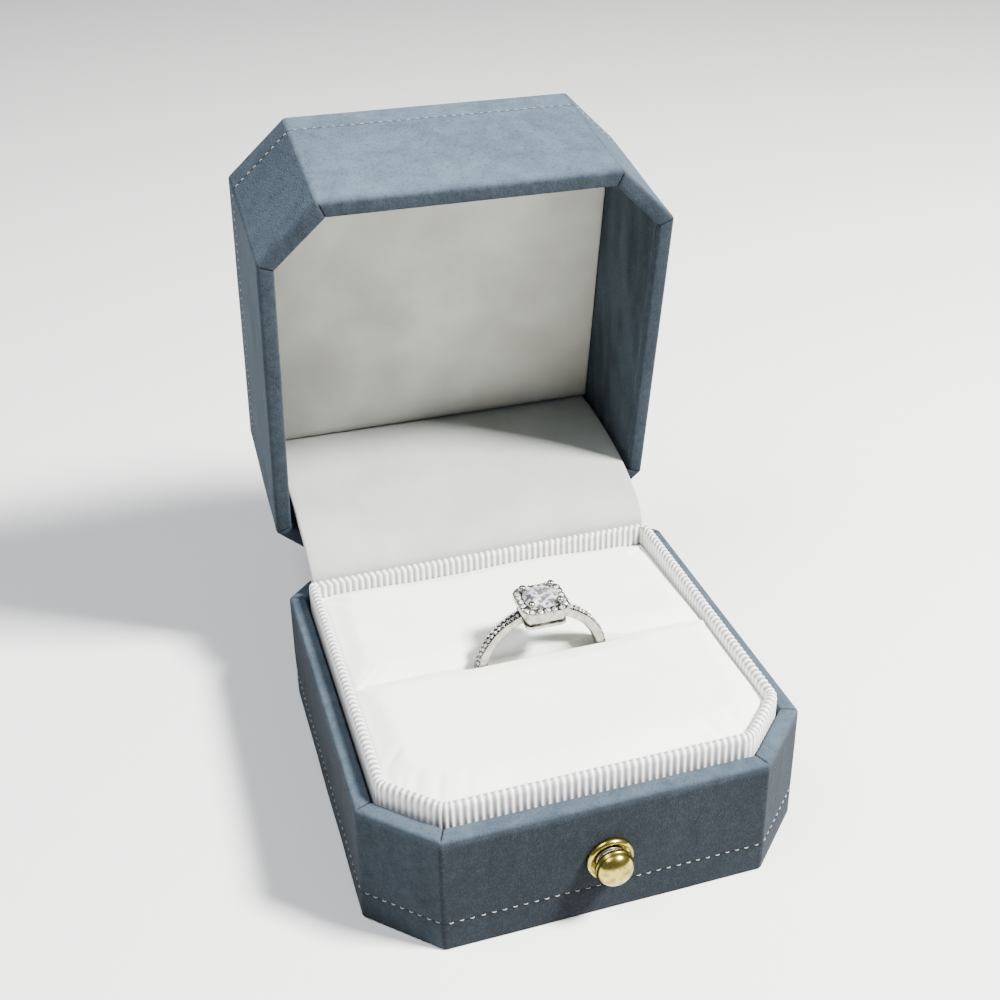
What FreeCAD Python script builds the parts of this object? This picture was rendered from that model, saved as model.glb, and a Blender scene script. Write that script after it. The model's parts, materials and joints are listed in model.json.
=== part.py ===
import FreeCAD, Part

# Octagonal push-button ring box, standing open, with a halo ring in its slit cushion.
# Millimetres.  X to the right, Y to the back, Z up.  The origin is the centre of the underside.
# Everything in the lid is drawn shut and then swung open about the hinge pins.

import math
import os

from FreeCAD import Vector

# ---- driving dimensions ----
WIDTH = 64.0
DEPTH = 69.0
CHAMFER = 9.1          # leg of the four cut corners
BASE_H = 18.9          # underside to rim
LID_H = 27.7           # rim to top
RIM_GAP = 0.3          # nap-thick gap between the two rims when shut
OPEN_DEG = 79.0        # the lid stands this far open on its stop

SKIN = 0.4             # suede cover
CORE = 1.7             # wall board
LINING = 0.4           # suede on the inside of the walls
WALL = SKIN + CORE + LINING
BOARD = 1.6            # floor board and top board
EDGE_R = 0.35          # softening of the outer rim edges

PIVOT_Y = 33.65
PIVOT_Z = 17.05
PIN_R = 0.40
EYE_R = 0.90
EYE_BORE_R = 0.45      # running fit in the lid's ears

LINER_SIDE = 3.0       # outer wall face to the ribbon's outer face, at the sides
LINER_FRONT = 2.6      # the same at the front, where the liner all but touches the wall
LINER_DIAGONAL = 2.6   # the same at the cut corners
RIBBON = 0.3
LINER_T = 1.5          # ribbon, board and ribbon
LINER_UP = 3.2         # how far the liner stands above the base rim
LINER_BACK_Y = 24.1
LINER_CORNER_R = 3.2
LINER_BACK_R = 1.0
RIBBON_DROP = 4.0      # how far the ribbon reaches below the base rim

PAD_TOP = BASE_H + 2.3
PAD_SKIN = 0.5
SLIT_Y = -3.3
SLIT_W = 2.4
PAD_GAP = 0.1          # pad to liner

PANEL_Z = 41.3         # velvet face of the lid's inner panel, lid shut
PANEL_VELVET = 0.5
PANEL_BOARD = 1.2
FLAP_Y = 24.3          # back edge of the panel, where the flap starts, lid shut
FLAP_HALF_W = 28.3
FLAP_T = 0.8
FLAP_GAP = 0.1         # flap to the liner and to the panel
FLAP_FOOT = 7.0        # how far it reaches down behind the liner

STITCH_UP = 4.7        # thread line above the underside and below the top
THREAD_W = 0.35
THREAD_T = 0.12

BUTTON_X = 0.0
BUTTON_Z = 9.4
FLANGE_R = 3.4
FLANGE_T = 0.9
DOME_R = 2.75
DOME_OUT = 3.9         # dome's nose ahead of the front face
STEM_R = 1.2
GUIDE_R = 1.9
GUIDE_BORE_R = 1.25
TRAVEL = 1.2
DOME_GAP = 0.08        # dome to the well in the flange
WELL_FLOOR = 0.3       # the well's floor, ahead of the front face
DOME_SKIRT = 0.55      # straight part of the dome, behind its round nose

RING_X = 0.9
RING_Z = 18.9
RING_OUT_R = 10.1
RING_IN_R = 8.5
BAND_W = 1.9
BAND_EDGE_R = 0.25
HALO_Z = 30.2
HALO_HALF = 3.72
HALO_CORNER = 1.8
STONE_HALF = 2.58
STONE_Z = HALO_Z + 0.25   # girdle of the centre stone
STONE_CROWN = 0.85
STONE_PAVILION = 2.2

HEAD_HALF = 3.12       # half the gap in the band that the head fills

LID_Z0 = BASE_H + RIM_GAP
LID_TOP = LID_Z0 + LID_H
LID_CORE_TOP = LID_TOP - SKIN - BOARD
TOUCH = 0.01           # points nearer than this count as level
X_AXIS = Vector(1, 0, 0)
Y_AXIS = Vector(0, 1, 0)
Z_AXIS = Vector(0, 0, 1)
BOTH_SIDES = (-1, 1)


# ---- helpers ----
def prism(points, z0, z1):
    """Upright prism on a closed outline of (x, y) points."""
    ring = [Vector(x, y, z0) for x, y in points]
    face = Part.Face(Part.makePolygon(ring + ring[:1]))
    return face.extrude(Vector(0, 0, z1 - z0))


def side_prism(points, x0, x1):
    """Prism along X on a closed outline of (y, z) points."""
    ring = [Vector(x0, y, z) for y, z in points]
    face = Part.Face(Part.makePolygon(ring + ring[:1]))
    return face.extrude(Vector(x1 - x0, 0, 0))


def octagon(inset):
    """The box's plan outline, moved inwards by inset."""
    a = WIDTH / 2 - inset
    b = DEPTH / 2 - inset
    leg = CHAMFER - inset * (2 - math.sqrt(2))
    quarter = [(a, b - leg), (a - leg, b)]
    right_back = quarter
    left_back = [(-x, y) for x, y in reversed(quarter)]
    left_front = [(-x, -y) for x, y in quarter]
    right_front = [(x, -y) for x, y in reversed(quarter)]
    return right_back + left_back + left_front + right_front


def cut_octagon(inset, back_y):
    """The outline with its back cut straight across at back_y."""
    points = octagon(inset)
    front = [p for p in points if p[1] < 0]
    half = WIDTH / 2 - inset
    return [(half, back_y), (-half, back_y)] + front


def octagon_ring(inset_out, inset_in, z0, z1):
    outer = prism(octagon(inset_out), z0, z1)
    return outer.cut(prism(octagon(inset_in), z0 - 1, z1 + 1))


def box(x0, x1, y0, y1, z0, z1):
    return Part.makeBox(x1 - x0, y1 - y0, z1 - z0, Vector(x0, y0, z0))


def liner_outline(t):
    """The liner's plan, moved inwards by t from the ribbon's outer face."""
    half = WIDTH / 2 - LINER_SIDE - t
    front = DEPTH / 2 - LINER_FRONT - t
    back = LINER_BACK_Y - t
    diagonal = WIDTH / 2 + DEPTH / 2 - CHAMFER - (LINER_DIAGONAL + t) * math.sqrt(2)
    left = [(-half, back), (-half, half - diagonal), (front - diagonal, -front)]
    return [(half, back)] + left + [(-x, y) for x, y in left[:0:-1]]


def liner_plan(t, z0, z1):
    """Upright block on the liner's outline, with its corners rounded."""
    solid = prism(liner_outline(t), z0, z1)
    upright = [e for e in solid.Edges if abs(e.Vertexes[0].X - e.Vertexes[1].X) < TOUCH
               and abs(e.Vertexes[0].Y - e.Vertexes[1].Y) < TOUCH]
    front = [e for e in upright if e.Vertexes[0].Y < 0]
    back = [e for e in upright if e.Vertexes[0].Y > 0]
    return solid.makeFillet(LINER_CORNER_R - t, front).makeFillet(LINER_BACK_R, back)


def soften_outer_edges(solid, z):
    """Round the outline's outer edges at height z."""
    a = WIDTH / 2
    b = DEPTH / 2
    diagonal = a + b - CHAMFER
    picked = []
    for edge in solid.Edges:
        ends = [v.Point for v in edge.Vertexes]
        if len(ends) != 2 or any(abs(p.z - z) > TOUCH for p in ends):
            continue
        mid = (ends[0] + ends[1]) * 0.5
        on_side = abs(abs(mid.x) - a) < TOUCH or abs(abs(mid.y) - b) < TOUCH
        if on_side or abs(abs(mid.x) + abs(mid.y) - diagonal) < TOUCH:
            picked.append(edge)
    return solid.makeFillet(EDGE_R, picked)


def opened(shape):
    """Swing a lid piece, drawn shut, to its open stop."""
    turned = shape.copy()
    turned.rotate(Vector(0, PIVOT_Y, PIVOT_Z), X_AXIS, -OPEN_DEG)
    return turned


def open_point(y, z):
    """Where a lid point (y, z), given shut, lies when the lid is open."""
    a = math.radians(-OPEN_DEG)
    dy = y - PIVOT_Y
    dz = z - PIVOT_Z
    return (PIVOT_Y + dy * math.cos(a) - dz * math.sin(a),
            PIVOT_Z + dy * math.sin(a) + dz * math.cos(a))


# ---- hinge ----
HINGE_X = 13.5         # inner face of the base's ears
EAR_T = 0.5
LEAF_T = 0.5
LEAF_Y = DEPTH / 2 - WALL - LEAF_T
NOTCH_CLEAR = 0.15
EAR_LOW = -0.9         # the base ear's arm, below and above the pivot
EAR_HIGH = 0.3
LID_ARM = 1.2          # height of the lid ear's arm
RIVET_X = 9.0
RIVET_R = 0.6
RIVET_HEAD_R = 1.1
RIVET_HEAD_T = 0.35
LID_EAR_X = HINGE_X - 0.15 - EAR_T
NOTCH_Z = PIVOT_Z - EYE_R - 0.35


def hinge_notches():
    """Two slots through the base's back rim, one for each pair of hinge ears."""
    slots = []
    for side in BOTH_SIDES:
        x0 = side * (LID_EAR_X - NOTCH_CLEAR)
        x1 = side * (HINGE_X + EAR_T + NOTCH_CLEAR)
        slots.append(box(min(x0, x1), max(x0, x1), LEAF_Y - 0.2, DEPTH / 2 + 1, NOTCH_Z, BASE_H + 1))
    return slots[0].fuse(slots[1])


def ear(side, x_in, low, high, bore_r):
    """An ear plate in the YZ plane: an eye on the pivot and an arm to the leaf."""
    x0 = side * x_in
    x1 = side * (x_in + EAR_T)
    x_low = min(x0, x1)
    arm = box(x_low, x_low + EAR_T, LEAF_Y, PIVOT_Y, PIVOT_Z + low, PIVOT_Z + high)
    eye = Part.makeCylinder(EYE_R, EAR_T, Vector(x_low, PIVOT_Y, PIVOT_Z), X_AXIS)
    bore = Part.makeCylinder(bore_r, EAR_T + 2, Vector(x_low - 1, PIVOT_Y, PIVOT_Z), X_AXIS)
    return arm.fuse(eye).cut(bore)


def ear_neck(side, x_in, z0, z1):
    """Upright strip in the leaf's plane that joins an ear to its leaf."""
    x_low = min(side * x_in, side * (x_in + EAR_T))
    return box(x_low, x_low + EAR_T, LEAF_Y, LEAF_Y + LEAF_T, z0, z1)


def rivet_row(y_face, z, depth):
    """Two flat-headed rivets through a leaf at y_face, heads on its front."""
    rivets = []
    for side in BOTH_SIDES:
        x = side * RIVET_X
        head = Part.makeCylinder(RIVET_HEAD_R, RIVET_HEAD_T, Vector(x, y_face - RIVET_HEAD_T, z), Y_AXIS)
        shank = Part.makeCylinder(RIVET_R, depth, Vector(x, y_face, z), Y_AXIS)
        rivets.append(head.fuse(shank))
    return rivets


def rivet_holes(z, depth):
    holes = []
    for side in BOTH_SIDES:
        start = Vector(side * RIVET_X, LEAF_Y - 1, z)
        holes.append(Part.makeCylinder(RIVET_R, depth + 2, start, Y_AXIS))
    return holes


RIVET_DEPTH = LEAF_T + LINING + CORE - 0.3
SPRING_T = 0.25
SPRING_SEAT = 0.05     # spring to leaf
SPRING_W = 8.0
BASE_LEAF_Z = (7.0, NOTCH_Z)
LID_LEAF_Z = (LID_Z0 + 1.0, LID_Z0 + 10.0)
BASE_RIVET_Z = 10.0
LID_RIVET_Z = LID_Z0 + 6.0


def hinge_leaf_base():
    leaf = box(-HINGE_X - EAR_T, HINGE_X + EAR_T, LEAF_Y, LEAF_Y + LEAF_T, *BASE_LEAF_Z)
    for side in BOTH_SIDES:
        leaf = leaf.fuse(ear(side, HINGE_X, EAR_LOW, EAR_HIGH, PIN_R))
        leaf = leaf.fuse(ear_neck(side, HINGE_X, BASE_LEAF_Z[1] - 1, PIVOT_Z + EAR_HIGH))
    for hole in rivet_holes(BASE_RIVET_Z, LEAF_T):
        leaf = leaf.cut(hole)
    return leaf.removeSplitter()


def hinge_leaf_lid():
    leaf = box(-LID_EAR_X - EAR_T, LID_EAR_X + EAR_T, LEAF_Y, LEAF_Y + LEAF_T, *LID_LEAF_Z)
    for side in BOTH_SIDES:
        leaf = leaf.fuse(ear(side, LID_EAR_X, -LID_ARM / 2, LID_ARM / 2, EYE_BORE_R))
        leaf = leaf.fuse(ear_neck(side, LID_EAR_X, PIVOT_Z - LID_ARM / 2, LID_LEAF_Z[0] + 1))
    for hole in rivet_holes(LID_RIVET_Z, LEAF_T):
        leaf = leaf.cut(hole)
    return opened(leaf.removeSplitter())


def hinge_pins():
    pins = []
    for side in BOTH_SIDES:
        x0 = side * (LID_EAR_X - 0.1)
        x1 = side * (HINGE_X + EAR_T)
        length = abs(x1 - x0)
        pins.append(Part.makeCylinder(PIN_R, length, Vector(min(x0, x1), PIVOT_Y, PIVOT_Z), X_AXIS))
    return Part.makeCompound(pins)


def hinge_rivets_base():
    return Part.makeCompound(rivet_row(LEAF_Y, BASE_RIVET_Z, RIVET_DEPTH))


def hinge_rivets_lid():
    return opened(Part.makeCompound(rivet_row(LEAF_Y, LID_RIVET_Z, RIVET_DEPTH)))


def strip_along(points, thickness, half_width):
    """A bent strip: centre line through (y, z) points, offset half a thickness each way."""
    over = []
    under = []
    count = len(points)
    for i in range(count):
        ahead = points[min(i + 1, count - 1)]
        behind = points[max(i - 1, 0)]
        dy = ahead[0] - behind[0]
        dz = ahead[1] - behind[1]
        length = math.hypot(dy, dz)
        ny = -dz / length * thickness / 2
        nz = dy / length * thickness / 2
        over.append((points[i][0] + ny, points[i][1] + nz))
        under.append((points[i][0] - ny, points[i][1] - nz))
    return side_prism(over + under[::-1], -half_width, half_width)


def bezier(p0, p1, p2, p3, count):
    """Points along a cubic from p0 to p3."""
    out = []
    for i in range(count + 1):
        t = i / count
        s = 1 - t
        out.append(tuple(s ** 3 * a + 3 * s * s * t * b + 3 * s * t * t * c + t ** 3 * d
                         for a, b, c, d in zip(p0, p1, p2, p3)))
    return out


def hinge_spring():
    """Bowed flat spring from the base leaf to the lid leaf, over the rim."""
    start = (LEAF_Y - SPRING_T - SPRING_SEAT, BASE_RIVET_Z + 1.5)
    end = open_point(LEAF_Y - SPRING_T - SPRING_SEAT, LID_RIVET_Z)
    curve = bezier(start, (LEAF_Y - 0.9, BASE_H + 2.6), (LEAF_Y + 1.5, BASE_H + 4.6), end, 12)
    return strip_along(curve, SPRING_T, SPRING_W / 2)


# ---- base ----
BASE_CORE_Z = (SKIN + BOARD, BASE_H - SKIN)
GUIDE_HOLE = Part.makeCylinder(GUIDE_R, WALL + 6, Vector(BUTTON_X, -DEPTH / 2 - 1, BUTTON_Z), Y_AXIS)


def base_bottom_cover():
    return prism(octagon(SKIN), 0, SKIN)


def base_floor_board():
    return prism(octagon(SKIN), SKIN, SKIN + BOARD)


def base_wall_core():
    walls = octagon_ring(SKIN, SKIN + CORE, *BASE_CORE_Z)
    walls = walls.cut(hinge_notches()).cut(GUIDE_HOLE)
    for rivet in rivet_row(LEAF_Y, BASE_RIVET_Z, RIVET_DEPTH):
        walls = walls.cut(rivet)
    return walls


def base_cover():
    """Suede over the outside, over the rim and down the inside of the walls."""
    outer = octagon_ring(0, SKIN, 0, BASE_H)
    rim = octagon_ring(SKIN, WALL, BASE_H - SKIN, BASE_H)
    lip = octagon_ring(SKIN + CORE, WALL, SKIN + BOARD, BASE_H - SKIN)
    cover = outer.fuse(rim).fuse(lip).removeSplitter()
    cover = soften_outer_edges(cover, BASE_H)
    cover = cover.cut(hinge_notches()).cut(GUIDE_HOLE)
    for rivet in rivet_row(LEAF_Y, BASE_RIVET_Z, RIVET_DEPTH):
        cover = cover.cut(rivet)
    return cover


def thread_ring(z):
    return octagon_ring(-THREAD_T, 0, z - THREAD_W / 2, z + THREAD_W / 2)


def base_stitching():
    return thread_ring(STITCH_UP)


def button_bezel():
    """Brass flange on the front face with a guide tube through the wall."""
    face_y = -DEPTH / 2
    centre = Vector(BUTTON_X, face_y - FLANGE_T, BUTTON_Z)
    flange = Part.makeCylinder(FLANGE_R, FLANGE_T, centre, Y_AXIS)
    rim_edge = [e for e in flange.Edges if e.Vertexes[0].Y < face_y - FLANGE_T + TOUCH
                and len(e.Vertexes) == 1]
    flange = flange.makeFillet(FLANGE_T * 0.45, rim_edge)
    recess = Part.makeCylinder(DOME_R + DOME_GAP, FLANGE_T, centre - Y_AXIS * WELL_FLOOR, Y_AXIS)
    tube = Part.makeCylinder(GUIDE_R, WALL, Vector(BUTTON_X, face_y, BUTTON_Z), Y_AXIS)
    bore = Part.makeCylinder(GUIDE_BORE_R, WALL + 6, centre - Y_AXIS, Y_AXIS)
    return flange.cut(recess).fuse(tube).cut(bore).removeSplitter()


DOME_BACK_Y = -DEPTH / 2 - WELL_FLOOR - TRAVEL
STEM_END_Y = -DEPTH / 2 + WALL + 1.2


def button_dome():
    """Domed head on a stem, drawn at its outer stop."""
    nose_y = -DEPTH / 2 - DOME_OUT
    head_y = DOME_BACK_Y - DOME_SKIRT
    height = head_y - nose_y
    ball_r = (DOME_R ** 2 + height ** 2) / (2 * height)
    ball = Part.makeSphere(ball_r, Vector(BUTTON_X, nose_y + ball_r, BUTTON_Z))
    ball = ball.common(box(-10, 10, nose_y - 1, head_y, 0, 20))
    barrel = Part.makeCylinder(DOME_R, DOME_SKIRT, Vector(BUTTON_X, head_y, BUTTON_Z), Y_AXIS)
    stem_start = Vector(BUTTON_X, DOME_BACK_Y, BUTTON_Z)
    stem = Part.makeCylinder(STEM_R, STEM_END_Y - DOME_BACK_Y, stem_start, Y_AXIS)
    return ball.fuse(barrel).fuse(stem).removeSplitter()


CLIP_Y = -DEPTH / 2 + WALL
CLIP_T = 0.5
SPRING_WIRE_R = 0.16
RELIEF_HALF = 3.0
RELIEF_BACK_Y = -DEPTH / 2 + WALL + 2.9
SPRING_TURNS = 3


def button_clip():
    """Push-on ring that keeps the stem in its guide."""
    outer = Part.makeCylinder(GUIDE_R - 0.1, CLIP_T, Vector(BUTTON_X, CLIP_Y + 0.05, BUTTON_Z), Y_AXIS)
    return outer.cut(Part.makeCylinder(STEM_R, 3, Vector(BUTTON_X, CLIP_Y - 1, BUTTON_Z), Y_AXIS))


def button_spring():
    """Return spring round the stem, behind the dome, drawn as its separate turns."""
    radius = (STEM_R + DOME_R) / 2
    first_y = DOME_BACK_Y + SPRING_WIRE_R + 0.02
    step = (TRAVEL - 2 * SPRING_WIRE_R - 0.06) / (SPRING_TURNS - 1)
    rings = []
    for i in range(SPRING_TURNS):
        centre = Vector(BUTTON_X, first_y + i * step, BUTTON_Z)
        rings.append(Part.makeTorus(radius, SPRING_WIRE_R, centre, Y_AXIS))
    return Part.makeCompound(rings)


# ---- liner and pads ----
LINER_TOP = BASE_H + LINER_UP
FLOOR_Z = SKIN + BOARD


def button_relief():
    """Room behind the wall for the button's stem and clip."""
    return box(BUTTON_X - RELIEF_HALF, BUTTON_X + RELIEF_HALF, -DEPTH / 2, RELIEF_BACK_Y,
               BUTTON_Z - RELIEF_HALF, BUTTON_Z + RELIEF_HALF)


def liner_frame():
    """Board ring that stands on the floor board and carries the ribbon."""
    top = LINER_TOP - RIBBON
    outer = liner_plan(RIBBON, FLOOR_Z, top)
    inner = liner_plan(LINER_T - RIBBON, FLOOR_Z - 1, top + 1)
    return outer.cut(inner).cut(button_relief())


def liner_ribbon():
    """Ribbed ribbon folded over the top of the liner frame."""
    low = BASE_H - RIBBON_DROP
    folded = liner_plan(0, low, LINER_TOP).cut(liner_plan(LINER_T, low - 1, LINER_TOP + 1))
    core_out = liner_plan(RIBBON, low - 1, LINER_TOP - RIBBON)
    core_in = liner_plan(LINER_T - RIBBON, low - 2, LINER_TOP + 2)
    return folded.cut(core_out.cut(core_in))


PAD_T = LINER_T + PAD_GAP      # the pads' outline, from the ribbon's outer face
PLATFORM_Z = (FLOOR_Z, FLOOR_Z + 3.6)


def insert_platform():
    """Raised board under the two pads."""
    return liner_plan(PAD_T, *PLATFORM_Z)


def pad_block(z0, z1, inset):
    return liner_plan(PAD_T + inset, z0, z1)


def front_half(inset):
    return box(-WIDTH, WIDTH, -DEPTH, SLIT_Y - SLIT_W / 2 - inset, -1, 60)


def rear_half(inset):
    return box(-WIDTH, WIDTH, SLIT_Y + SLIT_W / 2 + inset, DEPTH, -1, 60)


def pad_foam(half):
    block = pad_block(PLATFORM_Z[1], PAD_TOP - PAD_SKIN, PAD_SKIN)
    return block.common(half(PAD_SKIN)).cut(button_relief())


def pad_velvet(half):
    block = pad_block(PLATFORM_Z[1], PAD_TOP, 0).common(half(0))
    return block.cut(pad_foam(half)).cut(button_relief())


# ---- lid ----
def lid_wall_core():
    walls = octagon_ring(SKIN, SKIN + CORE, LID_Z0 + SKIN, LID_CORE_TOP)
    for rivet in rivet_row(LEAF_Y, LID_RIVET_Z, RIVET_DEPTH):
        walls = walls.cut(rivet)
    return opened(walls)


def lid_top_board():
    return opened(prism(octagon(SKIN), LID_CORE_TOP, LID_TOP - SKIN))


def lid_cover():
    """Suede over the outside and round the rim."""
    outer = octagon_ring(0, SKIN, LID_Z0, LID_TOP)
    rim = octagon_ring(SKIN, WALL, LID_Z0, LID_Z0 + SKIN)
    cover = outer.fuse(rim).removeSplitter()
    cover = soften_outer_edges(cover, LID_Z0)
    return opened(soften_outer_edges(cover, LID_TOP))


def lid_top_cover():
    return opened(prism(octagon(SKIN), LID_TOP - SKIN, LID_TOP))


def lid_lining():
    """Suede on the inside of the lid's walls, from the rim to the panel."""
    walls = octagon_ring(SKIN + CORE, WALL, LID_Z0 + SKIN, LID_CORE_TOP)
    for rivet in rivet_row(LEAF_Y, LID_RIVET_Z, RIVET_DEPTH):
        walls = walls.cut(rivet)
    return opened(walls)


def lid_stitching():
    return opened(thread_ring(LID_TOP - STITCH_UP))


PANEL_INSET = WALL + 0.05


def lid_panel_velvet():
    return opened(prism(cut_octagon(PANEL_INSET, FLAP_Y), PANEL_Z, PANEL_Z + PANEL_VELVET))


def lid_panel_board():
    z0 = PANEL_Z + PANEL_VELVET
    return opened(prism(cut_octagon(PANEL_INSET, FLAP_Y), z0, z0 + PANEL_BOARD))


def lid_panel_foam():
    z0 = PANEL_Z + PANEL_VELVET + PANEL_BOARD
    return opened(prism(cut_octagon(PANEL_INSET, FLAP_Y), z0, LID_CORE_TOP))


def hinge_flap():
    """Velvet flap from behind the liner, over the hinge and up to the panel's back edge."""
    start = (LINER_BACK_Y + FLAP_GAP + FLAP_T / 2, LINER_TOP - FLAP_FOOT)
    rise = (start[0], LINER_TOP - 0.6)
    end = open_point(FLAP_Y + FLAP_GAP + FLAP_T / 2, PANEL_Z + 0.4)
    mid = (35.5, 28.4)
    lower = bezier(rise, (rise[0] + 0.2, rise[1] + 3.2), (mid[0] - 5.2, mid[1] - 1.5), mid, 10)
    upper = bezier(mid, (mid[0] + 5.0, mid[1] + 1.4), (end[0] - 7.0, end[1] + 0.2), end, 8)
    return strip_along([start] + lower + upper[1:], FLAP_T, FLAP_HALF_W)


# ---- ring ----
RING_C = Vector(RING_X, SLIT_Y, RING_Z)
SHOULDER_COUNT = 28
HALO_COUNT = 20


def ring_shank():
    """Round-edged band, open at the top where the head fills it."""
    start = RING_C - Y_AXIS * (BAND_W / 2)
    band = Part.makeCylinder(RING_OUT_R, BAND_W, start, Y_AXIS)
    edges = [e for e in band.Edges if len(e.Vertexes) == 1]
    band = band.makeFillet(BAND_EDGE_R, edges)
    bore = Part.makeCylinder(RING_IN_R, BAND_W + 2, start - Y_AXIS, Y_AXIS)
    gap = box(RING_X - HEAD_HALF, RING_X + HEAD_HALF, SLIT_Y - 5, SLIT_Y + 5, RING_Z, RING_Z + 20)
    return band.cut(bore).cut(gap)


def cushion(half, corner, z0, z1):
    """Square with round corners, centred over the ring."""
    block = box(RING_X - half, RING_X + half, SLIT_Y - half, SLIT_Y + half, z0, z1)
    upright = [e for e in block.Edges if abs(e.Vertexes[0].Z - e.Vertexes[1].Z) > 0.1]
    return block.makeFillet(corner, upright)


GALLERY_Z = HALO_Z - 3.0
LOW_RAIL_H = 0.45
HIGH_RAIL_H = 1.3
RAIL_W = 0.9
RAIL_INNER_ROUND = 0.3  # the inner corners are this much tighter
LOW_RAIL_CORNER = 1.1
HIGH_RAIL_HALF = 3.1
HIGH_RAIL_CORNER = 1.3
PLATE_T = 0.7
POST_R = 0.40
POST_FOOT = 2.3        # posts' distance from the middle, at the low rail and at the high one
POST_HEAD = 2.3
POST_SINK = 0.15


def rail(half, corner, z0, z1):
    """Square ring of the basket, with round corners."""
    outer = cushion(half, corner, z0, z1)
    return outer.cut(cushion(half - RAIL_W, corner - RAIL_INNER_ROUND, z0 - 1, z1 + 1))


def ring_gallery():
    """Open basket under the halo: a low rail and a tall one, a slot apart, on four posts."""
    top = HALO_Z - PLATE_T
    basket = rail(HEAD_HALF, LOW_RAIL_CORNER, GALLERY_Z, GALLERY_Z + LOW_RAIL_H)
    basket = basket.fuse(rail(HIGH_RAIL_HALF, HIGH_RAIL_CORNER, top - HIGH_RAIL_H, top))
    for sx in BOTH_SIDES:
        for sy in BOTH_SIDES:
            foot = Vector(RING_X + sx * POST_FOOT, SLIT_Y + sy * POST_FOOT, GALLERY_Z + POST_SINK)
            head = Vector(RING_X + sx * POST_HEAD, SLIT_Y + sy * POST_HEAD, top - POST_SINK)
            basket = basket.fuse(Part.makeCylinder(POST_R, (head - foot).Length, foot, head - foot))
    return basket


def seat_points(half, corner, count):
    """Evenly spaced points round a cushion outline of the given half side."""
    straight = 2 * (half - corner)
    arc = math.pi / 2 * corner
    total = 4 * (straight + arc)
    points = []
    for i in range(count):
        s = (i + 0.5) * total / count
        side = int(s // (straight + arc))
        s -= side * (straight + arc)
        if s < straight:
            x = -straight / 2 + s
            y = -half
        else:
            a = (s - straight) / corner
            x = straight / 2 + corner * math.sin(a)
            y = -(half - corner) - corner * math.cos(a)
        turn = side * math.pi / 2
        points.append((RING_X + x * math.cos(turn) - y * math.sin(turn),
                       SLIT_Y + x * math.sin(turn) + y * math.cos(turn)))
    return points


def brilliant(x, y, z, girdle_r, crown, pavilion):
    """Round stone: a crown frustum on a pavilion cone, girdle at z."""
    top = Part.makeCone(girdle_r, girdle_r * SMALL_TABLE, crown, Vector(x, y, z))
    bottom = Part.makeCone(girdle_r * SMALL_CULET, girdle_r, pavilion, Vector(x, y, z - pavilion))
    return top.fuse(bottom)


HALO_HOLE_HALF = 2.3
HALO_HOLE_CORNER = 0.95
HALO_SEAT_HALF = 3.06
HALO_SEAT_CORNER = 1.36
HALO_STONE_R = 0.47
SMALL_CROWN = 0.22
SMALL_PAVILION = 0.5
SMALL_TABLE = 0.55     # small stones: table and culet, as shares of the girdle
SMALL_CULET = 0.15
STONE_CUT = 0.36       # the centre stone's cut corners, as a share of its half side
STONE_TABLE = 0.6      # its table, as a share of its girdle
STONE_WAIST_HALF = 2.12
STONE_WAIST_DOWN = 0.45
CULET_HALF = 0.3
CLAW_XY = 2.28
CLAW_R = 0.27
CLAW_H = 1.55
BEAD_R = 0.42


def ring_halo():
    """Cushion-shaped plate round the centre stone, drilled for the small stones."""
    plate = cushion(HALO_HALF, HALO_CORNER, HALO_Z - PLATE_T, HALO_Z)
    plate = plate.cut(cushion(HALO_HOLE_HALF, HALO_HOLE_CORNER, HALO_Z - 2, HALO_Z + 1))
    for x, y in seat_points(HALO_SEAT_HALF, HALO_SEAT_CORNER, HALO_COUNT):
        plate = plate.cut(Part.makeCylinder(HALO_STONE_R, 3, Vector(x, y, HALO_Z - 1.5), Z_AXIS))
    for claw in claw_blanks():
        plate = plate.cut(claw)
    return plate


def halo_stones():
    stones = []
    for x, y in seat_points(HALO_SEAT_HALF, HALO_SEAT_CORNER, HALO_COUNT):
        stones.append(brilliant(x, y, HALO_Z - 0.02, HALO_STONE_R - 0.01, SMALL_CROWN, SMALL_PAVILION))
    return Part.makeCompound(stones)


def stone_outline(half, z):
    """Square with cut corners at height z, for the centre stone."""
    corner = half * STONE_CUT
    flat = half - corner
    quarter = [(half, flat), (flat, half)]
    points = quarter + [(-x, y) for x, y in reversed(quarter)]
    points += [(-x, -y) for x, y in quarter] + [(x, -y) for x, y in reversed(quarter)]
    ring = [Vector(RING_X + x, SLIT_Y + y, z) for x, y in points]
    return Part.makePolygon(ring + ring[:1])


def center_stone():
    """Cushion-cut stone: a crown on a deep pavilion."""
    girdle = stone_outline(STONE_HALF, STONE_Z)
    table = stone_outline(STONE_HALF * STONE_TABLE, STONE_Z + STONE_CROWN)
    seat = stone_outline(STONE_WAIST_HALF, STONE_Z - STONE_WAIST_DOWN)
    culet = stone_outline(CULET_HALF, STONE_Z - STONE_PAVILION)
    crown = Part.makeLoft([girdle, table], True, True)
    waist = Part.makeLoft([seat, girdle], True, True)
    pavilion = Part.makeLoft([culet, seat], True, True)
    return crown.fuse(waist).fuse(pavilion)


def claw_blanks():
    """Four claws that stand on the gallery's upper rail, before the stone's notch is cut."""
    claws = []
    for sx in BOTH_SIDES:
        for sy in BOTH_SIDES:
            foot = Vector(RING_X + sx * CLAW_XY, SLIT_Y + sy * CLAW_XY, HALO_Z - PLATE_T)
            shaft = Part.makeCylinder(CLAW_R, CLAW_H, foot, Z_AXIS)
            claws.append(shaft.fuse(Part.makeSphere(BEAD_R, foot + Z_AXIS * CLAW_H)))
    return claws


def ring_prongs():
    stone = center_stone()
    return Part.makeCompound([claw.cut(stone) for claw in claw_blanks()])


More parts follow.
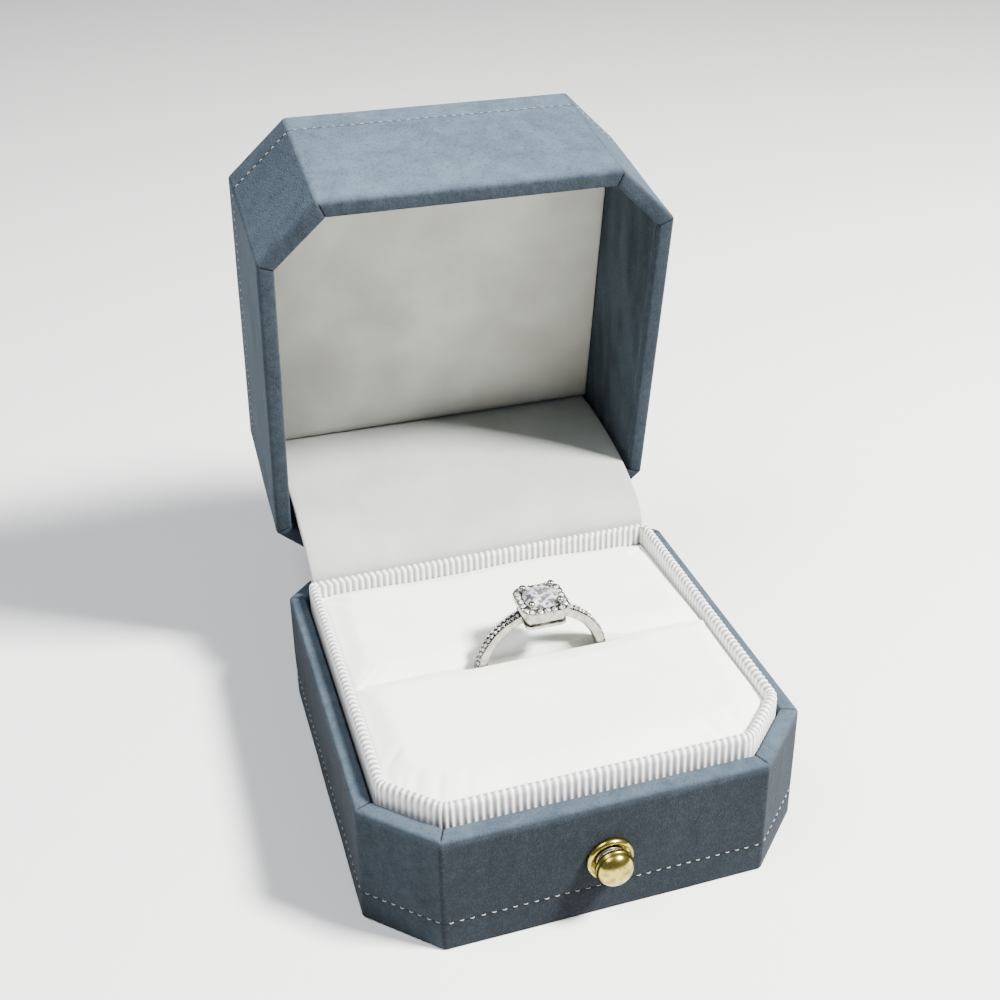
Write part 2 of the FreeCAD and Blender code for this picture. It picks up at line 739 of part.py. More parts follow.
SHOULDER_FIRST = math.radians(22)
SHOULDER_STEP = math.radians(2.3)
SHOULDER_ROW_Y = 0.38      # the two rows' distance from the band's middle
SHOULDER_R = 0.34
SHOULDER_TABLE_R = 0.18


def shoulder_points():
    """Centre and outward direction of each shoulder stone: two staggered rows a side."""
    points = []
    for side in BOTH_SIDES:
        for i in range(SHOULDER_COUNT):
            a = SHOULDER_FIRST + i * SHOULDER_STEP
            out = Vector(side * math.sin(a), 0, math.cos(a))
            row = SHOULDER_ROW_Y if i % 2 else -SHOULDER_ROW_Y
            points.append((RING_C + out * RING_OUT_R + Y_AXIS * row, out))
    return points


def shoulder_stones():
    stones = []
    for centre, out in shoulder_points():
        stones.append(Part.makeCone(SHOULDER_R, SHOULDER_TABLE_R, SMALL_CROWN, centre, out))
    return Part.makeCompound(stones)


def build():
    return {
        "base_bottom_cover": base_bottom_cover(),
        "base_floor_board": base_floor_board(),
        "base_wall_core": base_wall_core(),
        "base_cover": base_cover(),
        "base_stitching": base_stitching(),
        "button_bezel": button_bezel(),
        "button_dome": button_dome(),
        "button_clip": button_clip(),
        "button_spring": button_spring(),
        "liner_frame": liner_frame(),
        "liner_ribbon": liner_ribbon(),
        "insert_platform": insert_platform(),
        "front_pad_foam": pad_foam(front_half),
        "rear_pad_foam": pad_foam(rear_half),
        "front_pad_velvet": pad_velvet(front_half),
        "rear_pad_velvet": pad_velvet(rear_half),
        "hinge_leaf_base": hinge_leaf_base(),
        "hinge_leaf_lid": hinge_leaf_lid(),
        "hinge_pins": hinge_pins(),
        "hinge_rivets_base": hinge_rivets_base(),
        "hinge_rivets_lid": hinge_rivets_lid(),
        "hinge_spring": hinge_spring(),
        "hinge_flap": hinge_flap(),
        "lid_wall_core": lid_wall_core(),
        "lid_top_board": lid_top_board(),
        "lid_top_cover": lid_top_cover(),
        "lid_cover": lid_cover(),
        "lid_lining": lid_lining(),
        "lid_stitching": lid_stitching(),
        "lid_panel_velvet": lid_panel_velvet(),
        "lid_panel_board": lid_panel_board(),
        "lid_panel_foam": lid_panel_foam(),
        "ring_shank": ring_shank(),
        "ring_gallery": ring_gallery(),
        "ring_halo": ring_halo(),
        "ring_prongs": ring_prongs(),
        "center_stone": center_stone(),
        "halo_stones": halo_stones(),
        "shoulder_stones": shoulder_stones(),
    }


os.makedirs("parts", exist_ok=True)
for node, shape in build().items():
    shape.exportStep("parts/" + node + ".step")
    print(node, "solids", len(shape.Solids), "valid", shape.isValid(), "mm3", round(shape.Volume, 2))
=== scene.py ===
import json
import math
import random

import bmesh
import bpy
import numpy as np
from mathutils import Matrix, Vector


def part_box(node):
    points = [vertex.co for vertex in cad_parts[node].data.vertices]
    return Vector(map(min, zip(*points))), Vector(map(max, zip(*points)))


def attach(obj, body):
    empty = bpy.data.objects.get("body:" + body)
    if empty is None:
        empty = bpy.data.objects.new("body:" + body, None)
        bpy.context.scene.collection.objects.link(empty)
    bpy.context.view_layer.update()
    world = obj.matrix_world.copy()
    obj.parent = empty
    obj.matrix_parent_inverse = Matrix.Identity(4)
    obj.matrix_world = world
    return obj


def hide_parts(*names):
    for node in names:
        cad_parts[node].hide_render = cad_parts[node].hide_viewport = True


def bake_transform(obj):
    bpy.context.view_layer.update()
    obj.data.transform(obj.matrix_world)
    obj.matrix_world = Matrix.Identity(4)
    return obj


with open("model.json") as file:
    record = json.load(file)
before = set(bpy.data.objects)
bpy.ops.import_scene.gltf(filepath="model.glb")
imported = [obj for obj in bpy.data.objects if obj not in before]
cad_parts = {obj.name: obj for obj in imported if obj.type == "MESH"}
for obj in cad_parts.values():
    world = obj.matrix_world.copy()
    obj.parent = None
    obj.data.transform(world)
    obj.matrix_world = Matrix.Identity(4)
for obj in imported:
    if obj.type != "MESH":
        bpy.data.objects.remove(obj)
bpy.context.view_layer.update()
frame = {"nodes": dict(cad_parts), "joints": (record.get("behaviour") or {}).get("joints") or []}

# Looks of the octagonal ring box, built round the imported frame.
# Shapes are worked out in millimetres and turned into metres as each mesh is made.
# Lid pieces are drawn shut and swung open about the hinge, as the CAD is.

SCENE = bpy.context.scene
MM = 0.001
RNG = random.Random(7)


# ---- the frame's own measures, in millimetres ----
def box_mm(node):
    lo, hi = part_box(node)
    return lo / MM, hi / MM


def joint(name):
    return next(j for j in frame["joints"] if j["name"] == name)


HINGE = joint("lid_hinge")
PRESS = joint("button_press")["range_m"][1] / MM
PIVOT = Vector(HINGE["pos_m"]) / MM
OPEN = math.radians(HINGE["range_deg"][1])


def swing(points, angle):
    """Turn (n, 3) points about the hinge axis."""
    c = math.cos(angle)
    s = math.sin(angle)
    out = np.array(points, float).copy()
    y = out[:, 1] - PIVOT.y
    z = out[:, 2] - PIVOT.z
    out[:, 1] = PIVOT.y + y * c - z * s
    out[:, 2] = PIVOT.z + y * s + z * c
    return out


def shut_box(node):
    """A lid node's box in millimetres with the lid shut."""
    mesh = frame["nodes"][node].data
    points = np.array([v.co for v in mesh.vertices], float) / MM
    turned = swing(points, OPEN)
    return Vector(turned.min(0)), Vector(turned.max(0))


COVER_HI = box_mm("base_cover")[1]
HALF_W = COVER_HI.x
HALF_D = COVER_HI.y
BASE_H = COVER_HI.z
LID_LO, LID_HI = shut_box("lid_cover")
SKIN = COVER_HI.x - box_mm("base_wall_core")[1].x
WALL_IN = HALF_W - 0.05 - shut_box("lid_panel_velvet")[1].x
FLOOR_Z = box_mm("base_floor_board")[1].z
LINER_LO, LINER_HI = box_mm("liner_ribbon")
FRONT_PAD = box_mm("front_pad_velvet")
REAR_PAD = box_mm("rear_pad_velvet")
PANEL_LO, PANEL_HI = shut_box("lid_panel_velvet")
LID_CORE_TOP = shut_box("lid_wall_core")[1].z
STITCH_Z = (box_mm("base_stitching")[0].z + box_mm("base_stitching")[1].z) / 2
LID_STITCH = shut_box("lid_stitching")
LID_STITCH_Z = (LID_STITCH[0].z + LID_STITCH[1].z) / 2
BEZEL_LO, BEZEL_HI = box_mm("button_bezel")
DOME_LO, DOME_HI = box_mm("button_dome")
SHANK_LO, SHANK_HI = box_mm("ring_shank")
HALO_LO, HALO_HI = box_mm("ring_halo")
STONE_LO, STONE_HI = box_mm("center_stone")


def cut_corner():
    """Leg of the cut corners, from the base cover's own outline."""
    verts = [v.co / MM for v in frame["nodes"]["base_cover"].data.vertices]
    at_front = [v.x for v in verts if v.y < -HALF_D + 0.01]
    return HALF_W - max(at_front)


CHAMFER = cut_corner()


# ---- mesh helpers ----
def make_mesh(name, points, faces, smooth=True, values=None):
    """A new object from points in millimetres; values are named numbers per point."""
    mesh = bpy.data.meshes.new(name)
    mesh.from_pydata([tuple(p) for p in np.array(points, float) * MM], [], faces)
    for key, data in (values or {}).items():
        layer = mesh.attributes.new(key, "FLOAT", "POINT")
        layer.data.foreach_set("value", np.array(data, np.float32).ravel())
    mesh.validate()
    tool = bmesh.new()
    tool.from_mesh(mesh)
    bmesh.ops.recalc_face_normals(tool, faces=tool.faces)
    tool.to_mesh(mesh)
    tool.free()
    if smooth:
        mesh.shade_smooth()
    else:
        mesh.shade_flat()
    obj = bpy.data.objects.new(name, mesh)
    SCENE.collection.objects.link(obj)
    return obj


def loft(rings, closed=True):
    """Faces between rings of equal length: rings run along a closed path."""
    rows = len(rings)
    count = len(rings[0])
    faces = []
    last = rows if closed else rows - 1
    for i in range(last):
        faces += fan(i * count, ((i + 1) % rows) * count, count)
    return faces


def fan(first, second, count):
    """Faces between two rings of points, each given by the number of its first point."""
    turn = [(j, (j + 1) % count) for j in range(count)]
    return [(first + j, first + k, second + k, second + j) for j, k in turn]


def caps(rows, count):
    """The two end faces of a lofted run of rings."""
    return [tuple(range(count)), tuple((rows - 1) * count + j for j in range(count))]


def at_height(flat, z):
    """(x, y) stations lifted to one height."""
    return np.column_stack([flat, np.full(len(flat), z)])


def inset_outline(points, t):
    """Corners of a convex outline moved inwards by t."""
    out = []
    count = len(points)
    for i in range(count):
        p0 = Vector(points[i - 1])
        p1 = Vector(points[i])
        p2 = Vector(points[(i + 1) % count])
        d0 = (p1 - p0).normalized()
        d1 = (p2 - p1).normalized()
        n0 = Vector((-d0.y, d0.x))
        n1 = Vector((-d1.y, d1.x))
        middle = (n0 + n1) / (1 + n0.dot(n1))
        out.append(p1 + middle * t)
    return out


def octagon(half_w, half_d, leg):
    """The box's outline, counter-clockwise from the right-hand side's back corner."""
    quarter = [(half_w, half_d - leg), (half_w - leg, half_d)]
    left_back = [(-x, y) for x, y in reversed(quarter)]
    left_front = [(-x, -y) for x, y in quarter]
    right_front = [(x, -y) for x, y in reversed(quarter)]
    return quarter + left_back + left_front + right_front


def arc_tangent(turn, radius):
    return radius * math.tan(turn / 2)


def mitre_distance(flat, corners):
    """How far each (x, y) lies from the mitre line of the corner it is near."""
    best = np.full(len(flat), 9.0)
    count = len(corners)
    for i in range(count):
        corner = Vector(corners[i])
        ahead = (Vector(corners[(i + 1) % count]) - corner).normalized()
        behind = (Vector(corners[i - 1]) - corner).normalized()
        inwards = (ahead + behind).normalized()
        away = flat - np.array(corner)
        across = np.abs(away[:, 0] * inwards.y - away[:, 1] * inwards.x)
        close = np.hypot(away[:, 0], away[:, 1]) < 5
        best = np.where(close, np.minimum(best, across), best)
    return best


class Path:
    """Stations round a rounded convex outline, at any inset, always in the same order."""

    def __init__(self, points, radii, spacing, near=(), arc_steps=4, even=None):
        self.points = [Vector(p) for p in points]
        self.radii = radii
        self.near = list(near)
        self.arc_steps = arc_steps
        self.counts = []
        count = len(points)
        for i in range(count):
            length = (self.points[(i + 1) % count] - self.points[i]).length
            self.counts.append(even[i] if even else max(2, round(length / spacing)))

    def ring(self, t):
        """(x, y) of every station at inset t."""
        corners = inset_outline(self.points, t)
        count = len(corners)
        arcs = []
        for i in range(count):
            d0 = (corners[i] - corners[i - 1]).normalized()
            d1 = (corners[(i + 1) % count] - corners[i]).normalized()
            turn = d0.angle(d1)
            radius = max(self.radii[i] - t, 0.06)
            centre = corners[i] - d0 * arc_tangent(turn, radius) + Vector((-d0.y, d0.x)) * radius
            start = math.atan2(-d0.x, d0.y)
            arc = []
            for s in range(self.arc_steps + 1):
                a = start + turn * s / self.arc_steps
                arc.append(centre + Vector((math.cos(a), math.sin(a))) * radius)
            arcs.append(arc)
        out = []
        for i in range(count):
            out += arcs[i]
            a = arcs[i][-1]
            b = arcs[(i + 1) % count][0]
            d = (b - a).normalized()
            length = (b - a).length
            marks = list(self.near)
            edge = self.near[-1] if self.near else 0.0
            steps = self.counts[i]
            marks += [edge + (length - 2 * edge) * (s + 1) / (steps + 1) for s in range(steps)]
            marks += [length - n for n in reversed(self.near)]
            out += [a + d * m for m in marks]
        return np.array([tuple(p) for p in out])

    def tags(self):
        """Per station: the number of the edge it lies on."""
        edge = []
        for i in range(len(self.points)):
            edge += [i] * (self.arc_steps + 1)
            straight = self.counts[i] + 2 * len(self.near)
            edge += [i] * straight
        return np.array(edge)


def arc_points(centre, radius, a0, a1, steps):
    """Points on an arc in the profile plane (inset, height), angles in degrees."""
    out = []
    for i in range(steps + 1):
        a = math.radians(a0 + (a1 - a0) * i / steps)
        out.append((centre[0] + radius * math.cos(a), centre[1] + radius * math.sin(a)))
    return out


def spread(z0, z1, step):
    """Heights between z0 and z1, ends left out."""
    count = max(1, round(abs(z1 - z0) / step))
    return [z0 + (z1 - z0) * i / count for i in range(1, count)]


def wobble(points, amount, scale, seed):
    """Small smooth bumps: sums of sines, the same every run."""
    rng = random.Random(seed)
    total = np.zeros(len(points))
    for _ in range(5):
        k = np.array([rng.uniform(-1, 1) for _ in range(3)]) * scale
        total += np.sin(points @ k + rng.uniform(0, 6.28)) * rng.uniform(0.4, 1.0)
    return total * amount / 3


def ride(obj, body, slot, material, *replaced):
    """Give a finished piece its material and body, and hide the nodes it stands for; slot is not used."""
    obj.data.materials.clear()
    obj.data.materials.append(material)
    if body:
        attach(obj, body)
    if replaced:
        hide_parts(*replaced)
    return obj


def swung_open(points):
    return swing(points, -OPEN)


# ---- materials ----
def linear(r, g, b):
    """sRGB bytes as a linear colour."""
    out = []
    for c in (r, g, b):
        c /= 255
        out.append(c / 12.92 if c <= 0.04045 else ((c + 0.055) / 1.055) ** 2.4)
    return (*out, 1.0)


class Graph:
    """Short hand for building a material's nodes."""

    def __init__(self, name):
        self.material = bpy.data.materials.new(name)
        self.material.use_nodes = True
        self.tree = self.material.node_tree
        self.tree.nodes.clear()
        out = self.tree.nodes.new("ShaderNodeOutputMaterial")
        self.shader = self.tree.nodes.new("ShaderNodeBsdfPrincipled")
        self.tree.links.new(self.shader.outputs[0], out.inputs[0])
        coords = self.tree.nodes.new("ShaderNodeTexCoord")
        self.where = coords.outputs["Object"]

    def put(self, socket, value):
        if isinstance(value, bpy.types.NodeSocket):
            self.tree.links.new(value, socket)
        else:
            socket.default_value = value

    def node(self, kind, settings=None, **inputs):
        made = self.tree.nodes.new("ShaderNode" + kind)
        for key, value in (settings or {}).items():
            setattr(made, key, value)
        for key, value in inputs.items():
            self.put(made.inputs[key.replace("_", " ")], value)
        return made

    def set(self, **inputs):
        for key, value in inputs.items():
            self.put(self.shader.inputs[key.replace("_", " ")], value)

    def noise(self, scale, detail, stretch=None):
        """Noise at scale per metre, optionally squeezed along some axes."""
        where = self.where
        if stretch:
            where = self.node("Mapping", Vector=where, Scale=stretch).outputs[0]
        made = self.node("TexNoise", Vector=where, Scale=scale, Detail=detail)
        return made.outputs["Fac"]

    def ramp(self, value, low, high, to_low=0.0, to_high=1.0):
        made = self.node("MapRange", None, Value=value, From_Min=low, From_Max=high,
                         To_Min=to_low, To_Max=to_high)
        return made.outputs[0]

    def math(self, how, a, b):
        made = self.node("Math", {"operation": how})
        self.put(made.inputs[0], a)
        self.put(made.inputs[1], b)
        return made.outputs[0]

    def mix(self, factor, a, b):
        made = self.node("Mix", {"data_type": "RGBA"})
        self.put(made.inputs[0], factor)
        self.put(made.inputs[6], a)
        self.put(made.inputs[7], b)
        return made.outputs[2]

    def value(self, name):
        """A number stored on the mesh's points."""
        return self.node("Attribute", {"attribute_name": name}).outputs["Fac"]

    def bump(self, height, strength, distance, under=None):
        made = self.node("Bump", None, Height=height, Strength=strength, Distance=distance)
        if under:
            self.put(made.inputs["Normal"], under)
        return made.outputs[0]


def suede(name, pale, dark, deep):
    """Brushed suede: nap patches, streaks, speckle and a soft sheen."""
    g = Graph(name)
    patches = g.noise(60, 3.0)
    streaks = g.noise(330, 3.0, (1.0, 1.0, 0.3))
    speckle = g.noise(3600, 1.0)
    flecks = g.noise(1500, 2.0)
    nap = g.math("ADD", g.math("MULTIPLY", patches, 0.5), g.math("MULTIPLY", streaks, 0.5))
    colour = g.mix(g.ramp(nap, 0.38, 0.62), dark, pale)
    grain = g.math("ADD", g.math("MULTIPLY", speckle, 0.6), g.math("MULTIPLY", flecks, 0.4))
    # per-wall darkness from the mesh: partly the nap's direction, partly painted shade
    tone = g.value("tone")
    ruffled = g.math("MULTIPLY", tone, g.math("SUBTRACT", 1.0, tone))
    coarse = g.math("ADD", g.math("MULTIPLY", g.noise(700, 2.0), 0.5), g.math("MULTIPLY", grain, 0.5))
    ruffle = g.math("MULTIPLY", g.math("SUBTRACT", coarse, 0.5), 2.4)
    shade = g.math("ADD", tone, g.math("MULTIPLY", ruffled, ruffle))
    colour = g.mix(g.ramp(shade, 0.0, 1.0), colour, deep)
    colour = g.mix(g.ramp(grain, 0.48, 0.72, 0.0, 0.16), colour, pale)
    colour = g.mix(g.ramp(grain, 0.50, 0.30, 0.0, 0.42), colour, deep)
    # dark mitre joints, plus darkening along the stitch groove that is partly needle holes and partly
    # painted shade
    colour = g.mix(g.value("seam"), colour, linear(14, 17, 22))
    fine = g.bump(grain, 0.6, 0.0002)
    normal = g.bump(streaks, 0.25, 0.0004, fine)
    g.set(Base_Color=colour, Roughness=g.ramp(flecks, 0.3, 0.7, 0.82, 0.96), Normal=normal)
    g.set(Sheen_Weight=0.04, Sheen_Roughness=0.40, Sheen_Tint=(0.62, 0.76, 0.92, 1.0))
    g.set(Specular_IOR_Level=0.10)
    return g.material


def velvet(name, pale, shade):
    """Short white pile with faint brushed patches."""
    g = Graph(name)
    patches = g.noise(90, 3.0)
    pile = g.noise(5200, 1.0)
    soft = g.noise(900, 2.0)
    colour = g.mix(g.ramp(patches, 0.35, 0.7), shade, pale)
    colour = g.mix(g.ramp(pile, 0.35, 0.65, 0.0, 0.22), colour, shade)
    colour = g.mix(g.value("seam"), colour, linear(96, 90, 82))
    fine = g.bump(pile, 0.25, 0.00008)
    normal = g.bump(soft, 0.15, 0.0002, fine)
    g.set(Base_Color=colour, Roughness=g.ramp(soft, 0.3, 0.7, 0.85, 0.97), Normal=normal)
    g.set(Sheen_Weight=0.25, Sheen_Roughness=0.5, Sheen_Tint=(1.0, 0.99, 0.96, 1.0))
    g.set(Specular_IOR_Level=0.15)
    return g.material


def grosgrain():
    """Satin ribbon: bright ribs, painted shade in the grooves, fine threads across."""
    g = Graph("ribbon_satin")
    threads = g.noise(2600, 1.0, (1.0, 1.0, 3.0))
    blotch = g.noise(300, 2.0)
    ridge = linear(250, 249, 246)
    # groove colour: painted shade between the ribs of the white ribbon
    groove = linear(128, 124, 132)
    colour = g.mix(g.value("rib"), groove, ridge)
    colour = g.mix(g.ramp(blotch, 0.4, 0.7, 0.0, 0.15), colour, linear(214, 210, 206))
    normal = g.bump(threads, 0.35, 0.00008)
    g.set(Base_Color=colour, Roughness=g.ramp(threads, 0.3, 0.7, 0.30, 0.45), Normal=normal)
    g.set(Sheen_Weight=0.15, Sheen_Roughness=0.3, Specular_IOR_Level=0.55)
    return g.material


def thread():
    g = Graph("thread_cotton")
    twist = g.noise(5200, 1.0, (1.0, 1.0, 2.0))
    colour = g.mix(g.ramp(twist, 0.3, 0.7), linear(96, 98, 97), linear(150, 151, 146))
    g.set(Base_Color=colour, Roughness=g.ramp(twist, 0.3, 0.7, 0.6, 0.8))
    g.set(Normal=g.bump(twist, 0.4, 0.00006), Sheen_Weight=0.2)
    return g.material


def metal(name, bright, dull, low, high, scratch=0.08):
    """Polished metal with faint stains and hairline scratches."""
    g = Graph(name)
    stain = g.noise(900, 3.0)
    hair = g.noise(1400, 2.0, (1.0, 6.0, 1.0))
    colour = g.mix(g.ramp(stain, 0.40, 0.72), bright, dull)
    # painted shade where the metal lies between the stones
    colour = g.mix(g.value("recess_shade"), colour, linear(38, 36, 34))
    g.set(Base_Color=colour, Metallic=1.0, Roughness=g.ramp(stain, 0.35, 0.7, low, high))
    g.set(Normal=g.bump(hair, scratch, 0.00003))
    return g.material


def gem(name, facets, clear):
    """Clear stone with painted reflections: patches painted light and dark, facets of them to the metre."""
    g = Graph(name)
    facet = g.node("TexVoronoi", Vector=g.where, Scale=facets).outputs["Color"]
    # painted reflections: facets made dark or light in the base colour
    painted_glint = g.ramp(facet, 0.40, 0.56)
    tint = g.mix(g.ramp(g.noise(420, 1.0), 0.42, 0.6), (1.0, 0.93, 0.92, 1), (0.92, 0.94, 1.0, 1))
    g.set(Base_Color=g.mix(painted_glint, linear(112, 114, 122), tint), Roughness=g.ramp(painted_glint, 0, 1, 0.05, 0.0))
    g.set(IOR=2.2, Transmission_Weight=clear)
    return g.material


def paperboard():
    g = Graph("board_grey")
    fibre = g.noise(1800, 3.0, (1.0, 1.0, 0.3))
    colour = g.mix(g.ramp(fibre, 0.3, 0.7), linear(120, 114, 104), linear(168, 161, 148))
    g.set(Base_Color=colour, Roughness=g.ramp(fibre, 0.3, 0.7, 0.8, 0.95))
    g.set(Normal=g.bump(fibre, 0.3, 0.0001))
    return g.material


def foam():
    g = Graph("foam_white")
    cells = g.node("TexVoronoi", Vector=g.where, Scale=1800.0).outputs["Distance"]
    colour = g.mix(g.ramp(cells, 0.0, 0.6), linear(196, 194, 186), linear(232, 230, 222))
    g.set(Base_Color=colour, Roughness=g.ramp(cells, 0.0, 0.6, 0.95, 0.85))
    g.set(Normal=g.bump(cells, 0.5, 0.0003))
    return g.material


SUEDE = suede("suede_blue_grey", linear(76, 89, 100), linear(61, 73, 84), linear(12, 13, 17))
# the lining is the same suede as outside, made darker as painted shade inside the lid
SHADED_LINING_SUEDE = suede("suede_lining", linear(66, 76, 85), linear(42, 50, 58), linear(8, 9, 12))
VELVET = velvet("velvet_white", linear(247, 247, 242), linear(238, 238, 231))
# darker copies of the white velvet for the flap and the lid panel: painted shade inside the lid
FLAP_VELVET_SHADED = velvet("velvet_flap_painted_shade", linear(166, 169, 166), linear(152, 155, 151))
PANEL_VELVET_SHADED = velvet("velvet_panel_painted_shade", linear(186, 186, 178), linear(162, 162, 153))
RIBBON = grosgrain()
THREAD = thread()
BRASS = metal("brass_polished", linear(182, 166, 84), linear(92, 80, 32), 0.14, 0.32)
STEEL = metal("steel_plated", linear(188, 184, 172), linear(150, 146, 136), 0.28, 0.45)
SILVER = metal("silver_polished", linear(172, 170, 163), linear(128, 127, 122), 0.10, 0.24, 0.05)
GEM = gem("gem_clear", 2300, 0.60)
PAVE = gem("gem_pave", 4400, 0.25)
BOARD = paperboard()
FOAM = foam()

CAD_MATERIALS = {
    "base_wall_core": BOARD, "base_floor_board": BOARD, "liner_frame": BOARD,
    "insert_platform": BOARD, "lid_wall_core": BOARD, "lid_top_board": BOARD,
    "lid_panel_board": BOARD, "lid_panel_foam": FOAM, "front_pad_foam": FOAM,
    "rear_pad_foam": FOAM, "button_clip": STEEL, "button_spring": STEEL,
    "hinge_leaf_base": STEEL, "hinge_leaf_lid": STEEL, "hinge_pins": STEEL,
    "hinge_rivets_base": STEEL, "hinge_rivets_lid": STEEL, "ring_gallery": SILVER,
}


def dress_cad_nodes():
    for node, material in CAD_MATERIALS.items():
        data = frame["nodes"][node].data
        data.materials.clear()
        data.materials.append(material)
        data.shade_smooth()
        data.set_sharp_from_angle(angle=math.radians(30))


# ---- suede shells ----
OUTLINE = octagon(HALF_W, HALF_D, CHAMFER)
NEAR = (0.10, 0.28, 0.8)
CORNER_R = 0.9
EDGE_R = 0.55
RIM_IN_R = 0.45
GROOVE_HALF = 0.42
TURN_IN = 1.2          # how far the lid's cover reaches in past its rim
RIM_PUFF = 0.03        # how far the suede stands over the board at the rim
GROOVE_DEPTH = 0.10


def stitch_groove(z):
    """Profile points that press the suede in along a row of stitches."""
    steps = [(-GROOVE_HALF, 0.0), (-0.2, 0.35), (0.0, 1.0), (0.2, 0.35), (GROOVE_HALF, 0.0)]
    return [(GROOVE_DEPTH * share, z + rise) for rise, share in steps]


SEAM_W = 0.085
SEAM_DIP = 0.22


def shell(profile, seam_at, tone, groove_z, seed):
    """Sweep a closed (inset, height) profile round the outline, with mitre seams at the corners."""
    path = Path(OUTLINE, [CORNER_R] * 8, 1.1, NEAR, 8)
    edge = path.tags()
    rings = []
    seams = []
    tones = []
    for (t, z), (seam, dip) in zip(profile, seam_at):
        flat = path.ring(t)
        line = np.exp(-(mitre_distance(flat, OUTLINE) / SEAM_W) ** 2) * seam
        rings.append(np.column_stack([flat, z - line * SEAM_DIP * dip]))
        seams.append(line)
        tones.append(tone(edge, z))
    points = np.concatenate(rings)
    # darkening along the stitch groove: partly needle holes, partly painted shade in the groove
    groove_holes_and_shade = np.exp(-((points[:, 2] - groove_z) / 0.14) ** 2)
    seams = np.clip(np.concatenate(seams) + 0.7 * groove_holes_and_shade, 0, 1)
    centre = np.array([0.0, 0.0, points[:, 2].mean()])
    outwards = points - centre
    outwards[:, 2] = 0
    outwards /= np.linalg.norm(outwards, axis=1)[:, None]
    inset = np.repeat([p[0] for p in profile], len(edge))
    skin = (inset < 0.02)[:, None]
    points = points + outwards * skin * wobble(points, 0.05, 0.35, seed)[:, None]
    return points, loft(rings), {"seam": seams, "tone": np.concatenate(tones)}


def rim_seam(t):
    """Strength of the mitre seam across the rim: full at the inside, gone at the outer edge."""
    return min(1.0, max(0.0, (t - 0.12) / 0.5))


def base_profile():
    """Closed section of the base's cover: outside, rim, inside and back along the board."""
    under = [(SKIN, 0.0), (0.12, 0.04), (0.0, 0.22)]
    low = [(0.0, z) for z in spread(0.22, STITCH_Z - GROOVE_HALF, 1.2)]
    high = [(0.0, z) for z in spread(STITCH_Z + GROOVE_HALF, BASE_H - EDGE_R, 1.0)]
    edge = arc_points((EDGE_R, BASE_H - EDGE_R), EDGE_R, 180, 90, 5)
    top = [(1.0, BASE_H + RIM_PUFF), (1.5, BASE_H + RIM_PUFF)]
    inner = arc_points((WALL_IN - RIM_IN_R, BASE_H - RIM_IN_R), RIM_IN_R, 90, 0, 4)
    inside = [(WALL_IN, z) for z in (16.5, 14.0, 10.0, 6.0)]
    inside.append((WALL_IN, FLOOR_Z))
    back = [(WALL_IN - SKIN, FLOOR_Z), (WALL_IN - SKIN, BASE_H - SKIN), (SKIN, BASE_H - SKIN)]
    points = under + low + stitch_groove(STITCH_Z) + high + edge + top + inner + inside + back
    rim_start = len(under + low + stitch_groove(STITCH_Z) + high)
    rim_end = rim_start + len(edge + top + inner)
    seams = [(rim_seam(t) if rim_start <= i < rim_end else 0.0, 1.0) for i, (t, _) in enumerate(points)]
    return points, seams


WALL_NAMES = {7: "right", 0: "right_back", 1: "back", 2: "left_back", 3: "left",
              4: "left_front", 5: "front", 6: "right_front"}


def wall_nap_and_shade(table, rim_tone, rim_z, side):
    """Darkness per station, partly the nap's direction and partly painted shade: each wall's own below the
    edge, the rim's own across the rim.
    """
    def tone(edge, z):
        walls = np.array([table[WALL_NAMES[int(e)]] for e in edge])
        below = min(1.0, max(0.0, (rim_z - z) * side / 0.9))
        return walls * below + rim_tone * (1 - below)
    return tone


# how dark each wall is painted: partly the nap's direction, partly painted shade for how the light falls on
# that side; 0 is the suede's own colour, 1 the deepest shade
BASE_WALL_NAP_AND_SHADE = {"front": 0.88, "left_front": 0.76, "left": 0.88, "right_front": 0.90,
                   "right": 0.60, "back": 0.40, "left_back": 0.40, "right_back": 0.40}
LID_WALL_NAP_AND_SHADE = {"front": 0.0, "left_front": 0.30, "left": 0.42, "right_front": 0.25,
                  "right": 0.40, "back": 0.40, "left_back": 0.40, "right_back": 0.40}
BASE_RIM_TONE = 0.30
# the lid's rim faces downwards, so its darkness is painted shade
LID_RIM_PAINTED_SHADE = 0.74


SLOT_GAP = 0.15        # room beside a hinge leaf
LEAF_T = 0.5
CUTTER = 8.0           # well past the wall


def cut_slots(obj):
    """Cut the two hinge slots through the base's back rim."""
    hi = box_mm("hinge_leaf_base")[1]
    lid_hi = box_mm("hinge_leaf_lid")[1]
    for side in (-1, 1):
        x0 = side * (lid_hi.x - LEAF_T - SLOT_GAP)
        x1 = side * (hi.x + SLOT_GAP)
        size = Vector((abs(x1 - x0), CUTTER, CUTTER))
        front = HALF_D - WALL_IN - 0.7
        floor_z = PIVOT.z - 1.25
        centre = Vector(((x0 + x1) / 2, front + CUTTER / 2, floor_z + CUTTER / 2))
        bpy.ops.mesh.primitive_cube_add(size=1.0, location=centre * MM)
        cutter = bpy.context.object
        cutter.scale = size * MM
        made = obj.modifiers.new("slot", "BOOLEAN")
        made.object = cutter
        made.operation = "DIFFERENCE"
        made.solver = "EXACT"
        bpy.context.view_layer.update()
        graph = bpy.context.evaluated_depsgraph_get()
        mesh = bpy.data.meshes.new_from_object(obj.evaluated_get(graph))
        obj.modifiers.clear()
        obj.data = mesh
        bpy.data.objects.remove(cutter)
    return obj


def base_suede():
    profile, seams = base_profile()
    tone = wall_nap_and_shade(BASE_WALL_NAP_AND_SHADE, BASE_RIM_TONE, BASE_H, 1)
    points, faces, values = shell(profile, seams, tone, STITCH_Z, 11)
    obj = cut_slots(make_mesh("base_suede", points, faces, True, values))
    return ride(obj, "base", "suede", SUEDE, "base_cover")


